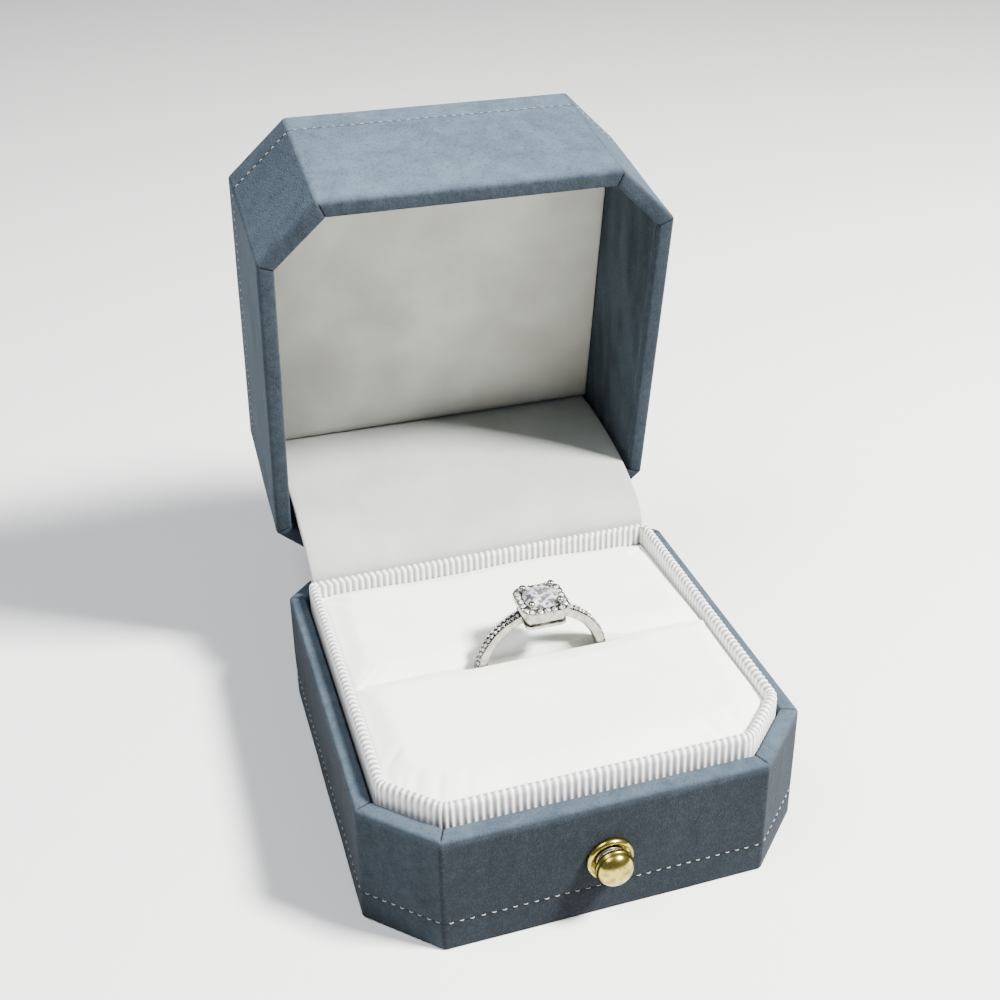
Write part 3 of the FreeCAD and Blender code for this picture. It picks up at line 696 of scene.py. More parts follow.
def lid_profile():
    """Closed section of the lid's cover, lid shut: top edge, outside, rim and a short turn-in."""
    z0 = LID_LO.z
    z1 = LID_HI.z
    top = [(SKIN, z1 - SKIN), (1.15, z1 - SKIN), (1.15, z1 - 0.08), (1.0, z1)]
    top_edge = arc_points((EDGE_R, z1 - EDGE_R), EDGE_R, 90, 180, 5)
    high = [(0.0, z) for z in spread(z1 - EDGE_R, LID_STITCH_Z + GROOVE_HALF, 1.0)]
    low = [(0.0, z) for z in spread(LID_STITCH_Z - GROOVE_HALF, z0 + EDGE_R, 1.1)]
    rim_edge = arc_points((EDGE_R, z0 + EDGE_R), EDGE_R, 180, 270, 5)
    rim = [(1.0, z0 - RIM_PUFF), (1.5, z0 - RIM_PUFF)]
    inner = arc_points((WALL_IN - RIM_IN_R, z0 + RIM_IN_R), RIM_IN_R, 270, 360, 4)
    turn = [(WALL_IN, z0 + TURN_IN), (WALL_IN - SKIN, z0 + TURN_IN)]
    turn += [(WALL_IN - SKIN, z0 + SKIN), (SKIN, z0 + SKIN)]
    groove = stitch_groove(LID_STITCH_Z)[::-1]
    points = top + top_edge + high + groove + low + rim_edge + rim + inner + turn
    rim_start = len(top + top_edge + high + groove + low)
    rim_end = rim_start + len(rim_edge + rim + inner)
    seams = [(rim_seam(t) if rim_start <= i < rim_end else 0.0, -1.0) for i, (t, _) in enumerate(points)]
    return points, seams


def lid_suede():
    profile, seams = lid_profile()
    tone = wall_nap_and_shade(LID_WALL_NAP_AND_SHADE, LID_RIM_PAINTED_SHADE, LID_LO.z, -1)
    points, faces, values = shell(profile, seams, tone, LID_STITCH_Z, 23)
    obj = make_mesh("lid_suede", swung_open(points), faces, True, values)
    return ride(obj, "lid", "suede", SUEDE, "lid_cover")


def slab(outline, radii, profile, spacing, fill_rows):
    """A closed flat piece: rounded edge profile, then inset rows over top and bottom."""
    path = Path(outline, radii, spacing)
    rings = []
    for t, z in profile:
        flat = path.ring(t)
        rings.append(at_height(flat, z))
    count = len(rings[0])
    points = list(rings)
    faces = loft(rings, closed=False)
    centre = np.array([rings[0][:, 0].mean(), (rings[0][:, 1].min() + rings[0][:, 1].max()) / 2])
    for end in (0, len(rings) - 1):
        previous = end * count
        z = profile[end][1]
        for row in range(1, fill_rows + 1):
            f = row / (fill_rows + 1)
            flat = rings[end][:, :2] * (1 - f) + centre * f
            start = sum(len(p) for p in points)
            points.append(at_height(flat, z))
            faces += fan(previous, start, count)
            previous = start
        start = sum(len(p) for p in points)
        points.append(np.array([[centre[0], centre[1], z]]))
        for j in range(count):
            faces.append((previous + j, previous + (j + 1) % count, start))
    return np.concatenate(points), faces


def plain_values(points, tone):
    return {"seam": np.zeros(len(points)), "tone": np.full(len(points), tone)}


def lid_top():
    """Suede sheet glued over the lid's top, with a softly rolled edge."""
    z1 = LID_HI.z
    outline = [tuple(p) for p in inset_outline(OUTLINE, 1.3)]
    profile = [(0.0, z1 - SKIN), (0.0, z1 - 0.14), (0.05, z1 - 0.04), (0.16, z1)]
    points, faces = slab(outline, [0.5] * 8, profile, 1.5, 14)
    points[:, 2] += wobble(points, 0.03, 0.3, 5) * (points[:, 2] > z1 - 0.1)
    obj = make_mesh("lid_top_suede", swung_open(points), faces, True, plain_values(points, 0.1))
    return ride(obj, "lid", "suede", SUEDE, "lid_top_cover")


def base_underside():
    outline = [tuple(p) for p in inset_outline(OUTLINE, SKIN + 0.02)]
    profile = [(0.0, SKIN), (0.0, 0.1), (0.1, 0.0)]
    points, faces = slab(outline, [0.4] * 8, profile, 1.5, 14)
    obj = make_mesh("base_underside", points, faces, True, plain_values(points, 0.2))
    return ride(obj, "base", "suede", SUEDE, "base_bottom_cover")


def lid_lining():
    """Suede on the inside of the lid's walls, slightly soft in the corners, in a darker copy of the suede
    that paints the shade inside the lid.
    """
    path = Path(OUTLINE, [WALL_IN + 0.9] * 8, 1.1, NEAR)
    z0 = LID_LO.z + TURN_IN
    z1 = LID_CORE_TOP
    heights = [z0 + 0.05] + spread(z0 + 0.05, z1, 1.0) + [z1]
    rings = []
    for z in heights:
        flat = path.ring(WALL_IN)
        rings.append(at_height(flat, z))
    for z in heights[::-1]:
        flat = path.ring(WALL_IN - SKIN)
        rings.append(at_height(flat, z))
    points = np.concatenate(rings)
    obj = make_mesh("lid_lining_suede", swung_open(points), loft(rings), True, plain_values(points, 0.15))
    return ride(obj, "lid", "suede_lining", SHADED_LINING_SUEDE, "lid_lining")


# ---- stitches ----
STITCH_PITCH = 1.45
STITCH_END = 0.25      # how far the first stitch stays from a corner
STITCH_LEN = 0.76
STITCH_R = 0.07
STITCH_RINGS = 7
STITCH_SIDES = 8


def stitch_points(centre, along, out, rng):
    """One stitch: a short thread that dips into the suede at both ends."""
    rings = []
    tilt = Vector((0, 0, 1)) * rng.uniform(-0.05, 0.05)
    for i in range(STITCH_RINGS):
        f = i / (STITCH_RINGS - 1) * 2 - 1
        swell = math.sqrt(max(0.0, 1 - abs(f) ** 3)) * 0.85 + 0.15
        middle = centre + (along + tilt) * (f * STITCH_LEN / 2) + out * (0.02 - 0.17 * f * f)
        ring = []
        for s in range(STITCH_SIDES):
            a = 2 * math.pi * s / STITCH_SIDES
            ring.append(middle + (out * math.cos(a) + Vector((0, 0, 1)) * math.sin(a)) * STITCH_R * swell)
        rings.append(ring)
    return rings


def stitch_row(name, z, turn, body, node, seed):
    """Stitches at an even pitch along every wall."""
    rng = random.Random(seed)
    points = []
    faces = []
    corners = [Vector(p) for p in OUTLINE]
    for i in range(8):
        a = corners[i]
        b = corners[(i + 1) % 8]
        d = (b - a).normalized()
        out = Vector((d.y, -d.x, 0))
        length = (b - a).length - 2 * STITCH_END
        count = round(length / STITCH_PITCH)
        for k in range(count):
            s = STITCH_END + length * (k + 0.5) / count + rng.uniform(-0.05, 0.05)
            flat = a + d * s
            centre = Vector((flat.x, flat.y, z + rng.uniform(-0.04, 0.04)))
            rings = stitch_points(centre, Vector((d.x, d.y, 0)), out, rng)
            start = len(points)
            for ring in rings:
                points += [tuple(p) for p in ring]
            for face in loft(rings, closed=False) + caps(STITCH_RINGS, STITCH_SIDES):
                faces.append(tuple(start + v for v in face))
    points = np.array(points)
    obj = make_mesh(name, turn(points), faces)
    return ride(obj, body, "thread", THREAD, node)


# ---- liner, pads and panel ----
LINER_T = 1.5
LINER_R = 3.2
LINER_BACK_R = 1.0
RIB_PITCH = 1.0
RIB_STEPS = 8
RIB_DEPTH = 0.17
LINER_DIAGONAL = max(v.co.x - v.co.y for v in frame["nodes"]["liner_ribbon"].data.vertices) / MM


def liner_outline(t):
    """The liner's plan, moved inwards by t: straight across at the back, corners cut in front."""
    half = LINER_HI.x - t
    front = -LINER_LO.y - t
    back = LINER_HI.y - t
    diagonal = LINER_DIAGONAL - t * math.sqrt(2)
    left = [(-half, back), (-half, half - diagonal), (front - diagonal, -front)]
    return [(half, back)] + left + [(-x, y) for x, y in left[:0:-1]]


def rib_strength(edge, z):
    """Ribs stand full height over the top; the corners and sides are pulled smooth outside."""
    outside = np.array([{3: 1.0, 2: 0.55, 4: 0.55, 0: 1.0}.get(int(e), 0.3) for e in edge])
    near_top = min(1.0, max(0.0, (z - (LINER_HI.z - LINER_T / 2 - 0.4)) / 0.6))
    return outside * (1 - near_top) + near_top


def liner_ribbon():
    """Ribbed ribbon folded over the liner: narrow round ribs with wide grooves between."""
    outline = liner_outline(0)
    corners = [Vector(p) for p in outline]
    counts = []
    for i in range(6):
        length = (corners[(i + 1) % 6] - corners[i]).length - 2.5
        counts.append(max(2, round(length / RIB_PITCH)) * RIB_STEPS - 1)
    path = Path(outline, [LINER_BACK_R] * 2 + [LINER_R] * 4, 1.0, (), 3 * RIB_STEPS, counts)
    edge = path.tags()
    phase = np.arange(len(edge)) / RIB_STEPS
    rib = (0.5 + 0.5 * np.cos(2 * math.pi * phase)) ** 1.5
    lo = LINER_LO.z
    hi = LINER_HI.z
    r = LINER_T / 2
    outside = [(0.0, z) for z in (lo, lo + 2.0, BASE_H, hi - 2.2, hi - 1.4)]
    over = arc_points((r, hi - r), r, 180, 0, 12)
    inside = [(LINER_T, z) for z in (hi - 1.4, hi - 2.4, hi - 4.0, lo)]
    back = [(LINER_T - 0.3, lo), (LINER_T - 0.3, hi - 1.0), (r, hi - 0.3), (0.3, hi - 1.0), (0.3, lo)]
    profile = outside + over + inside + back
    shown = len(outside + over + inside)
    rings = []
    ribs = []
    for i, (t, z) in enumerate(profile):
        flat = path.ring(t)
        if i >= shown:
            rings.append(at_height(flat, z))
            ribs.append(np.ones(len(rib)))
            continue
        strength = rib_strength(edge, z)
        sunk = strength * (1 - rib)
        ahead = profile[min(i + 1, shown - 1)]
        behind = profile[max(i - 1, 0)]
        dt = ahead[0] - behind[0]
        dz = ahead[1] - behind[1]
        size = math.hypot(dt, dz) or 1.0
        moved = path.ring(t + dz / size * RIB_DEPTH)
        flat = flat * (1 - sunk)[:, None] + moved * sunk[:, None]
        rings.append(np.column_stack([flat, z - dt / size * RIB_DEPTH * sunk]))
        ribs.append(1 - (1 - rib) * (0.25 + 0.75 * strength))
    points = np.concatenate(rings)
    obj = make_mesh("liner_grosgrain", points, loft(rings), True, {"rib": np.concatenate(ribs)})
    return ride(obj, "base", "ribbon", RIBBON, "liner_ribbon")


BAND_HALF = (SHANK_HI.y - SHANK_LO.y) / 2
RING_MID = (SHANK_LO + SHANK_HI) / 2
SLIT_Y = RING_MID.y
SLIT_SPAN = (SHANK_HI.x - SHANK_LO.x) / 2 + 0.5


def slit_half(x):
    """Half the slit's width: open for the band, closing past it, nicked at its two ends."""
    beyond = abs(x - RING_MID.x) - SLIT_SPAN
    f = min(1.0, max(0.0, beyond / 4.5))
    f = f * f * (3 - 2 * f)
    nick = 0.4 * math.exp(-((abs(x) - PAD_NICK_X) / 0.6) ** 2)
    return (BAND_HALF + 0.12) * (1 - f) + 0.08 * f + nick


PAD_INSET = LINER_T + 0.1
PAD_NICK_X = LINER_HI.x - LINER_T - 2.0
PAD_ROUND = 1.1        # how softly the pads' corners are rounded
PAD_SINK = 0.75        # how far the pads' edges sink beside the liner
PAD_SWELL = 0.5        # how far the velvet may move while it swells
PAD_WALL_Z = (18.6, 16.6)
# pocket in the front pad that the pressed button's stem moves into
POCKET_HALF = (DOME_HI.z - DOME_LO.z) / 2
POCKET_TOP = (DOME_LO.z + DOME_HI.z) / 2 + POCKET_HALF
POCKET_BACK = DOME_HI.y + PRESS + 0.3


FRONT_TOP = round(FRONT_PAD[1].z, 2) + 0.1
REAR_TOP = round(REAR_PAD[1].z, 2) - 0.05
FRONT_RISE = 0.65      # from the slit to the front
REAR_SAG = 0.2         # from the slit to the back
REAR_SAG_RIGHT = 1.1   # more of it on the right
SLIT_FOLD = 0.35       # how far the rear pad dips into the slit


def front_level(x, y):
    """Height of the front pad's velvet: rising from the slit to the front."""
    f = (SLIT_Y - y) / (SLIT_Y - LINER_LO.y)
    return FRONT_TOP + FRONT_RISE * f + 0.15 * math.sin(0.16 * x + 1.2) * f


def rear_level(x, y):
    """Height of the rear pad's velvet: sagging towards the back, most of all on the right."""
    f = (y - SLIT_Y) / (LINER_HI.y - SLIT_Y)
    right = max(0.0, x / LINER_HI.x)
    fold = SLIT_FOLD * math.exp(-(y - SLIT_Y) / 1.6)
    sag = REAR_SAG * f * f + REAR_SAG_RIGHT * right * right * f
    return REAR_TOP - fold - sag + 0.12 * math.sin(0.2 * x)


def roll(gap, radius):
    """How far a rounded edge has dropped, gap in from its end."""
    away = min(radius, max(0.0, radius - gap))
    return radius - math.sqrt(radius ** 2 - away ** 2)


def pad(name, lo_z, side, level, foam_node, velvet_node):
    """Velvet over foam: soft rolled edges at the liner, a crisper fold into the slit."""
    outline = liner_outline(PAD_INSET)
    half = outline[0][0]
    leg_x = outline[3 + 1][0]
    front_y = outline[3][1]
    back_y = outline[0][1]
    nx = 110
    ny = 52

    def y_range(x):
        front = front_y + max(0.0, abs(x) - leg_x)
        if side < 0:
            return front, SLIT_Y - slit_half(x)
        return SLIT_Y + slit_half(x), back_y

    def height(x, y, ya, yb):
        walls = [half - x, half + x]
        if side < 0:
            walls += [y - front_y, (y - front_y - abs(x) + leg_x) / math.sqrt(2)]
            slit_gap = yb - y
        else:
            walls.append(back_y - y)
            slit_gap = y - ya
        soft = -PAD_ROUND * math.log(sum(math.exp(-d / PAD_ROUND) for d in walls))
        sunk = PAD_SINK * math.exp(-max(0.0, soft) / 1.5)
        return level(x, y) - sunk - roll(soft, 0.8) - roll(slit_gap, 0.4)

    def eased(f, ends):
        return (0.5 - 0.5 * math.cos(math.pi * f)) * ends + f * (1 - ends)

    points = []
    for i in range(nx + 1):
        x = -half + 2 * half * eased(i / nx, 0.45)
        ya, yb = y_range(x)
        for j in range(ny + 1):
            y = ya + (yb - ya) * eased(j / ny, 0.6)
            points.append((x, y, height(x, y, ya, yb)))
    rows = ny + 1
    faces = []
    for i in range(nx):
        for j in range(ny):
            a = i * rows + j
            faces.append((a, a + rows, a + rows + 1, a + 1))
    border = [i * rows for i in range(nx + 1)]
    border += [nx * rows + j for j in range(1, ny + 1)]
    border += [i * rows + ny for i in range(nx - 1, -1, -1)]
    border += [j for j in range(ny - 1, 0, -1)]
    top_count = len(points)
    previous = border
    for z in (*PAD_WALL_Z, POCKET_TOP + 0.6, POCKET_TOP, lo_z):
        start = len(points)
        for i in border:
            x, y, _ = points[i]
            if z <= POCKET_TOP and abs(x) < POCKET_HALF:
                y = max(y, POCKET_BACK)
            points.append((x, y, z))
        fresh = list(range(start, start + len(border)))
        for k in range(len(border)):
            n = (k + 1) % len(border)
            faces.append((previous[k], previous[n], fresh[n], fresh[k]))
        previous = fresh
    faces.append(tuple(previous))
    points = np.array(points)
    points[:top_count, 2] += wobble(points[:top_count], 0.05, 0.3, 3 + side)
    obj = make_mesh(name, points, faces, True, {"seam": np.zeros(len(points))})
    loose = set(range(top_count)) - set(border)
    swell(obj, loose)
    return ride(obj, "base", "white_velvet", VELVET, foam_node, velvet_node)


CLOTH_SCALE = 20.0     # the cloth is worked at cushion size, where its stiffness behaves


def swell(obj, loose):
    """Let the velvet swell over its foam as cloth under pressure, capped, then keep the result."""
    mesh = obj.data
    count = len(mesh.vertices)
    before = np.empty(count * 3)
    mesh.vertices.foreach_get("co", before)
    mesh.vertices.foreach_set("co", before * CLOTH_SCALE)
    held = obj.vertex_groups.new(name="held")
    held.add([i for i in range(count) if i not in loose], 1.0, "REPLACE")
    cloth = obj.modifiers.new("swell", "CLOTH")
    cloth.settings.quality = 3
    cloth.settings.use_pressure = True
    cloth.settings.uniform_pressure_force = 4.0
    cloth.settings.effector_weights.gravity = 0.0
    cloth.settings.vertex_group_mass = "held"
    for number in range(1, 21):
        SCENE.frame_set(number)
    graph = bpy.context.evaluated_depsgraph_get()
    after = np.empty(count * 3)
    obj.evaluated_get(graph).data.vertices.foreach_get("co", after)
    obj.modifiers.remove(cloth)
    obj.vertex_groups.remove(held)
    moved = (after / CLOTH_SCALE - before).reshape(-1, 3) / MM
    length = np.linalg.norm(moved, axis=1)
    cap = np.minimum(1.0, PAD_SWELL / np.maximum(length, 1e-6))
    moved *= cap[:, None]
    mesh.vertices.foreach_set("co", before + moved.ravel() * MM)
    mesh.update()
    SCENE.frame_set(1)
    print("swell", obj.name, "largest", round(float(length.max()), 3), "mm")


def lid_panel():
    """Velvet-covered panel in the lid's top, edges rolled and a little crowned."""
    inset = WALL_IN + 0.08
    points = inset_outline(OUTLINE, inset)
    front = [tuple(p) for p in points if p.y < 0]
    half = HALF_W - inset
    outline = [(half, PANEL_HI.y), (-half, PANEL_HI.y)] + front
    z = PANEL_LO.z
    profile = arc_points((0.5, z + 0.5), 0.5, 270, 180, 4) + [(0.0, z + 0.5)]
    profile = profile[:-1] + [(0.0, PANEL_HI.z)]
    pts, faces = slab(outline, [0.4, 0.4] + [0.6] * 4, profile, 1.2, 20)
    face = pts[:, 2] < z + 0.02
    span = 1 - np.clip(np.abs(pts[:, 0]) / half, 0, 1) ** 4
    pts[:, 2] -= face * (0.22 * span + wobble(pts, 0.05, 0.2, 9))
    obj = make_mesh("lid_panel_white", swung_open(pts), faces, True, {"seam": np.zeros(len(pts))})
    return ride(obj, "lid", "white_velvet", PANEL_VELVET_SHADED, "lid_panel_velvet")


def bezier(p0, p1, p2, p3, count):
    out = []
    for i in range(count + 1):
        t = i / count
        s = 1 - t
        out.append(tuple(s ** 3 * a + 3 * s * s * t * b + 3 * s * t * t * c + t ** 3 * d
                         for a, b, c, d in zip(p0, p1, p2, p3)))
    return out


FLAP_T = 0.8
FLAP_BEHIND = 7.0      # how far it reaches down behind the liner
# the CAD flap's outer corner; its x sets the flap's half width
FLAP_HI = box_mm("hinge_flap")[1]


def open_yz(y, z):
    turned = swing([(0.0, y, z)], -OPEN)[0]
    return (turned[1], turned[2])


def strip(centre, half_width, thickness, across, lift=None):
    """A bent strip with rounded edges: closed loops across X at every centre point."""
    rings = []
    count = len(centre)
    for i in range(count):
        ahead = centre[min(i + 1, count - 1)]
        behind = centre[max(i - 1, 0)]
        d = Vector((ahead[0] - behind[0], ahead[1] - behind[1])).normalized()
        n = Vector((-d.y, d.x))
        half = half_width(i / (count - 1))
        ring = []
        xs = [-half + thickness / 2 + (2 * half - thickness) * j / across for j in range(across + 1)]
        upper = [(x, thickness / 2) for x in xs]
        right = [(half - thickness / 2 + thickness / 2 * math.cos(a), thickness / 2 * math.sin(a))
                 for a in (math.pi / 4, 0, -math.pi / 4)]
        lower = [(x, -thickness / 2) for x in reversed(xs)]
        left = [(-x, -h) for x, h in right]
        for x, h in upper + right + lower + left:
            rise = lift(i / (count - 1), x) if lift else 0.0
            y = centre[i][0] + n.x * (h + rise)
            z = centre[i][1] + n.y * (h + rise)
            ring.append((x, y, z))
        rings.append(np.array(ring))
    points = np.concatenate(rings)
    return points, loft(rings, closed=False) + caps(count, len(rings[0]))


def flap_line():
    """Centre line (y, z) of the flap, lid open, as the CAD has it."""
    y0 = LINER_HI.y + 0.1 + FLAP_T / 2
    start = (y0, LINER_HI.z - FLAP_BEHIND)
    rise = (y0, LINER_HI.z - 0.6)
    mid = (PIVOT.y + 1.85, PIVOT.z + 11.35)
    end = open_yz(PANEL_HI.y + 0.1 + FLAP_T / 2, PANEL_LO.z + 0.4)
    foot = [(start[0], start[1] + (rise[1] - start[1]) * i / 8) for i in range(8)]
    lower = bezier(rise, (rise[0] + 0.2, rise[1] + 3.2), (mid[0] - 5.2, mid[1] - 1.5), mid, 22)
    upper = bezier(mid, (mid[0] + 5.0, mid[1] + 1.4), (end[0] - 7.0, end[1] + 0.2), end, 22)
    return foot + lower + upper[1:]


def flap_width(f):
    return FLAP_HI.x + 0.05 + 0.75 * max(0.0, f - 0.2)


def hinge_flap():
    line = flap_line()

    def lift(f, x):
        soft = math.sin(math.pi * min(1.0, max(0.0, (f - 0.15) / 0.85)))
        return soft * (0.18 * math.sin(0.11 * x + 1.0) + 0.10 * math.sin(0.31 * x + 3.0 * f))

    points, faces = strip(line, flap_width, FLAP_T, 60, lift)
    seam = np.zeros(len(points))
    obj = make_mesh("hinge_flap_velvet", points, faces, True, {"seam": seam})
    length = sum(math.dist(line[i], line[i + 1]) for i in range(len(line) - 1))
    ride(obj, None, "white_velvet", FLAP_VELVET_SHADED, "hinge_flap")
    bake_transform(obj)
    return obj


def hinge_spring():
    """The snap spring under the flap, drawn in its bent shape with the lid open."""
    lo, hi = box_mm("hinge_spring")
    leaf_y = HALF_D - WALL_IN - 0.5
    start = (leaf_y - 0.3, lo.z)
    end = open_yz(leaf_y - 0.3, shut_box("hinge_rivets_lid")[0].z + 1.1)
    line = bezier(start, (leaf_y - 0.9, BASE_H + 2.6), (leaf_y + 1.5, BASE_H + 4.6), end, 24)
    points, faces = strip(line, lambda f: hi.x, 0.25, 8)
    obj = make_mesh("hinge_spring_strip", points, faces)
    obj.data.set_sharp_from_angle(angle=math.radians(40))
    ride(obj, None, "spring_steel", STEEL, "hinge_spring")
    Vector((0, *line[3])) * MM
    Vector((0, *line[-4])) * MM
    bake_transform(obj)
    return obj


# ---- button ----
LATHE_STEPS = 64


def lathe(profile, centre):
    """Turn an (r, y) profile about a Y axis through centre."""
    rings = []
    for r, y in profile:
        ring = []
        for s in range(LATHE_STEPS):
            a = 2 * math.pi * s / LATHE_STEPS
            ring.append((centre[0] + r * math.cos(a), y, centre[1] + r * math.sin(a)))
        rings.append(np.array(ring))
    return np.concatenate(rings), loft(rings, closed=False), len(rings)


def closed_lathe(name, profile, centre):
    points, faces, rows = lathe(profile, centre)
    return make_mesh(name, points, faces + caps(rows, LATHE_STEPS))


def tube_lathe(name, profile, centre):
    """Turn a closed (r, y) profile: a ring-shaped piece."""
    points, faces, rows = lathe(profile, centre)
    return make_mesh(name, points, faces + fan((rows - 1) * LATHE_STEPS, 0, LATHE_STEPS))


def button():
    face = -HALF_D
    centre = ((BEZEL_LO.x + BEZEL_HI.x) / 2, (BEZEL_LO.z + BEZEL_HI.z) / 2)
    r = (BEZEL_HI.x - BEZEL_LO.x) / 2
    dome_r = (DOME_HI.x - DOME_LO.x) / 2
    bore = 1.25
    guide = 1.9
    out = [(guide, face + WALL_IN), (guide, face), (r - 0.05, face), (r, face - 0.12)]
    lip = [(r - 0.02, face - 0.42), (r - 0.12, face - 0.66), (r - 0.3, face - 0.83), (r - 0.45, face - 0.9)]
    well = [(dome_r + 0.10, face - 0.86), (dome_r + 0.08, face - 0.6), (dome_r + 0.08, face - 0.26)]
    inner = [(dome_r + 0.02, face - 0.24), (bore, face - 0.24), (bore, face + WALL_IN)]
    bezel = tube_lathe("button_flange", out + lip + well + inner, centre)
    bezel.data.set_sharp_from_angle(angle=math.radians(50))
    ride(bezel, "base", "brass", BRASS, "button_bezel")
    back = face - 0.3 - PRESS
    nose = DOME_LO.y
    collar = back - 0.55
    height = collar - nose
    stem_r = 1.2
    profile = [(stem_r, DOME_HI.y), (stem_r, back), (dome_r - 0.08, back), (dome_r, back - 0.08)]
    profile += [(dome_r, collar + 0.12), (dome_r - 0.06, collar), (dome_r - 0.12, collar - 0.08)]
    steps = 14
    for i in range(1, steps):
        a = math.pi / 2 * i / steps
        profile.append(((dome_r - 0.12) * math.cos(a), collar - 0.08 - (height - 0.08) * math.sin(a)))
    profile.append((0.06, nose))
    cap = closed_lathe("button_cap", profile, centre)
    cap.data.set_sharp_from_angle(angle=math.radians(50))
    ride(cap, "button", "brass", BRASS, "button_dome")


# ---- ring ----
def superellipse(half, power, angle):
    c = abs(math.cos(angle)) ** power
    s = abs(math.sin(angle)) ** power
    return half / (c + s) ** (1 / power)


def brilliant(centre, half, power, crown, pavilion, table, girdle, matrix=None):
    """A faceted stone: table, star, kite and girdle facets over a pavilion."""
    def at(angle, share, z):
        r = superellipse(half, power, angle) * share
        return Vector((r * math.cos(angle), r * math.sin(angle), z))

    tables = [at(k * math.pi / 4, table, crown) for k in range(8)]
    stars = [at((k + 0.5) * math.pi / 4, (1 + table) / 2 + 0.02, crown * 0.55) for k in range(8)]
    upper = [at(k * math.pi / 8, 1.0, 0.0) for k in range(16)]
    lower = [at(k * math.pi / 8, 1.0, -girdle) for k in range(16)]
    keel = [at((k + 0.5) * math.pi / 4, 0.24, -girdle - pavilion * 0.78) for k in range(8)]
    culet = Vector((0, 0, -girdle - pavilion))
    points = tables + stars + upper + lower + keel + [culet]
    faces = [tuple(range(8))]
    for k in range(8):
        n = (k + 1) % 8
        p = (k - 1) % 8
        g = 16 + 2 * k
        g1 = 16 + 2 * k + 1
        g2 = 16 + (2 * k + 2) % 16
        faces.append((k, 8 + k, n))
        faces.append((k, 8 + p, g))
        faces.append((k, g, 8 + k))
        faces.append((8 + k, g, g1))
        faces.append((8 + k, g1, g2))
        faces.append((g, g + 16, g1 + 16, g1))
        faces.append((g1, g1 + 16, g2 + 16, g2))
        faces.append((48 + k, g1 + 16, g + 16))
        faces.append((48 + k, g2 + 16, g1 + 16))
        faces.append((56, 48 + k, g + 16))
        faces.append((56, g + 16, 48 + p))
    if matrix:
        points = [matrix @ p for p in points]
    return [tuple(p + centre) for p in points], faces


BEAD_SIDES = 8
BEAD_ROWS = 5


def bead(centre, radius):
    """A small round grain of metal."""
    points = []
    for i in range(1, BEAD_ROWS):
        a = math.pi * i / BEAD_ROWS
        for j in range(BEAD_SIDES):
            b = 2 * math.pi * j / BEAD_SIDES
            p = Vector((math.sin(a) * math.cos(b), math.sin(a) * math.sin(b), math.cos(a)))
            points.append(tuple(centre + p * radius))
    top = len(points)
    points.append(tuple(centre + Vector((0, 0, radius))))
    points.append(tuple(centre - Vector((0, 0, radius))))
    faces = []
    low = (BEAD_ROWS - 2) * BEAD_SIDES
    for start in range(0, low, BEAD_SIDES):
        faces += fan(start, start + BEAD_SIDES, BEAD_SIDES)
    for j in range(BEAD_SIDES):
        k = (j + 1) % BEAD_SIDES
        faces.append((top, k, j))
        faces.append((top + 1, low + j, low + k))
    return points, faces


def gather(name, parts, smooth):
    points = []
    faces = []
    for p, f in parts:
        start = len(points)
        points += p
        faces += [tuple(start + v for v in face) for face in f]
    return make_mesh(name, points, faces, smooth)


HEAD_XY = ((HALO_LO.x + HALO_HI.x) / 2, (HALO_LO.y + HALO_HI.y) / 2)
HALO_COUNT = 20
HALO_SEAT = 3.06
HALO_SEAT_CORNER = 1.36
SHOULDER_FIRST = 22.0
SHOULDER_STEP = 2.3
SHOULDER_COUNT = 28
SHOULDER_ROW_Y = 0.38
SHOULDER_STONE_R = 0.26
HALO_STONE_R = 0.46
GRAIN_R = 0.15         # between the shoulder stones
EDGE_GRAIN_R = 0.085   # along the band's edges
EDGE_GRAIN_Y = 0.84
HALO_OUTER_GRAIN_R = 0.19
HALO_INNER_GRAIN_R = 0.14
BAND_T = 1.6
BAND_STEPS = 120
CLAW_SIDES = 10
HALO_HOLE = 2.3        # half the side of the hole under the centre stone
SCALLOP_STEPS = 10     # points round the halo's edge for each stone
SCALLOP_DEPTH = 0.16
# painted shade on the metal between the shoulder stones
RECESS_PAINTED_SHADE = 0.92     # how dark the metal lies between the shoulder stones
HEAD_HALF = 3.12


def seat_points(half, corner, count, offset=0.5):
    """Evenly spaced points round a cushion outline of the given half side."""
    straight = 2 * (half - corner)
    arc = math.pi / 2 * corner
    total = 4 * (straight + arc)
    points = []
    for i in range(count):
        s = (i + offset) * total / count
        side = int(s // (straight + arc))
        s -= side * (straight + arc)
        if s < straight:
            x = -straight / 2 + s
            y = -half
        else:
            a = (s - straight) / corner
            x = straight / 2 + corner * math.sin(a)
            y = -(half - corner) - corner * math.cos(a)
        turn = side * math.pi / 2
        points.append((HEAD_XY[0] + x * math.cos(turn) - y * math.sin(turn),
                       HEAD_XY[1] + x * math.sin(turn) + y * math.cos(turn)))
    return points


def tilted(turn):
    """A stone never sits quite true: a small turn about every axis, the same every run."""
    about_x = Matrix.Rotation(RNG.uniform(-0.22, 0.22), 3, "X")
    about_y = Matrix.Rotation(RNG.uniform(-0.22, 0.22), 3, "Y")
    about_z = Matrix.Rotation(RNG.uniform(0.0, 1.5), 3, "Z")
    return turn @ about_x @ about_y @ about_z


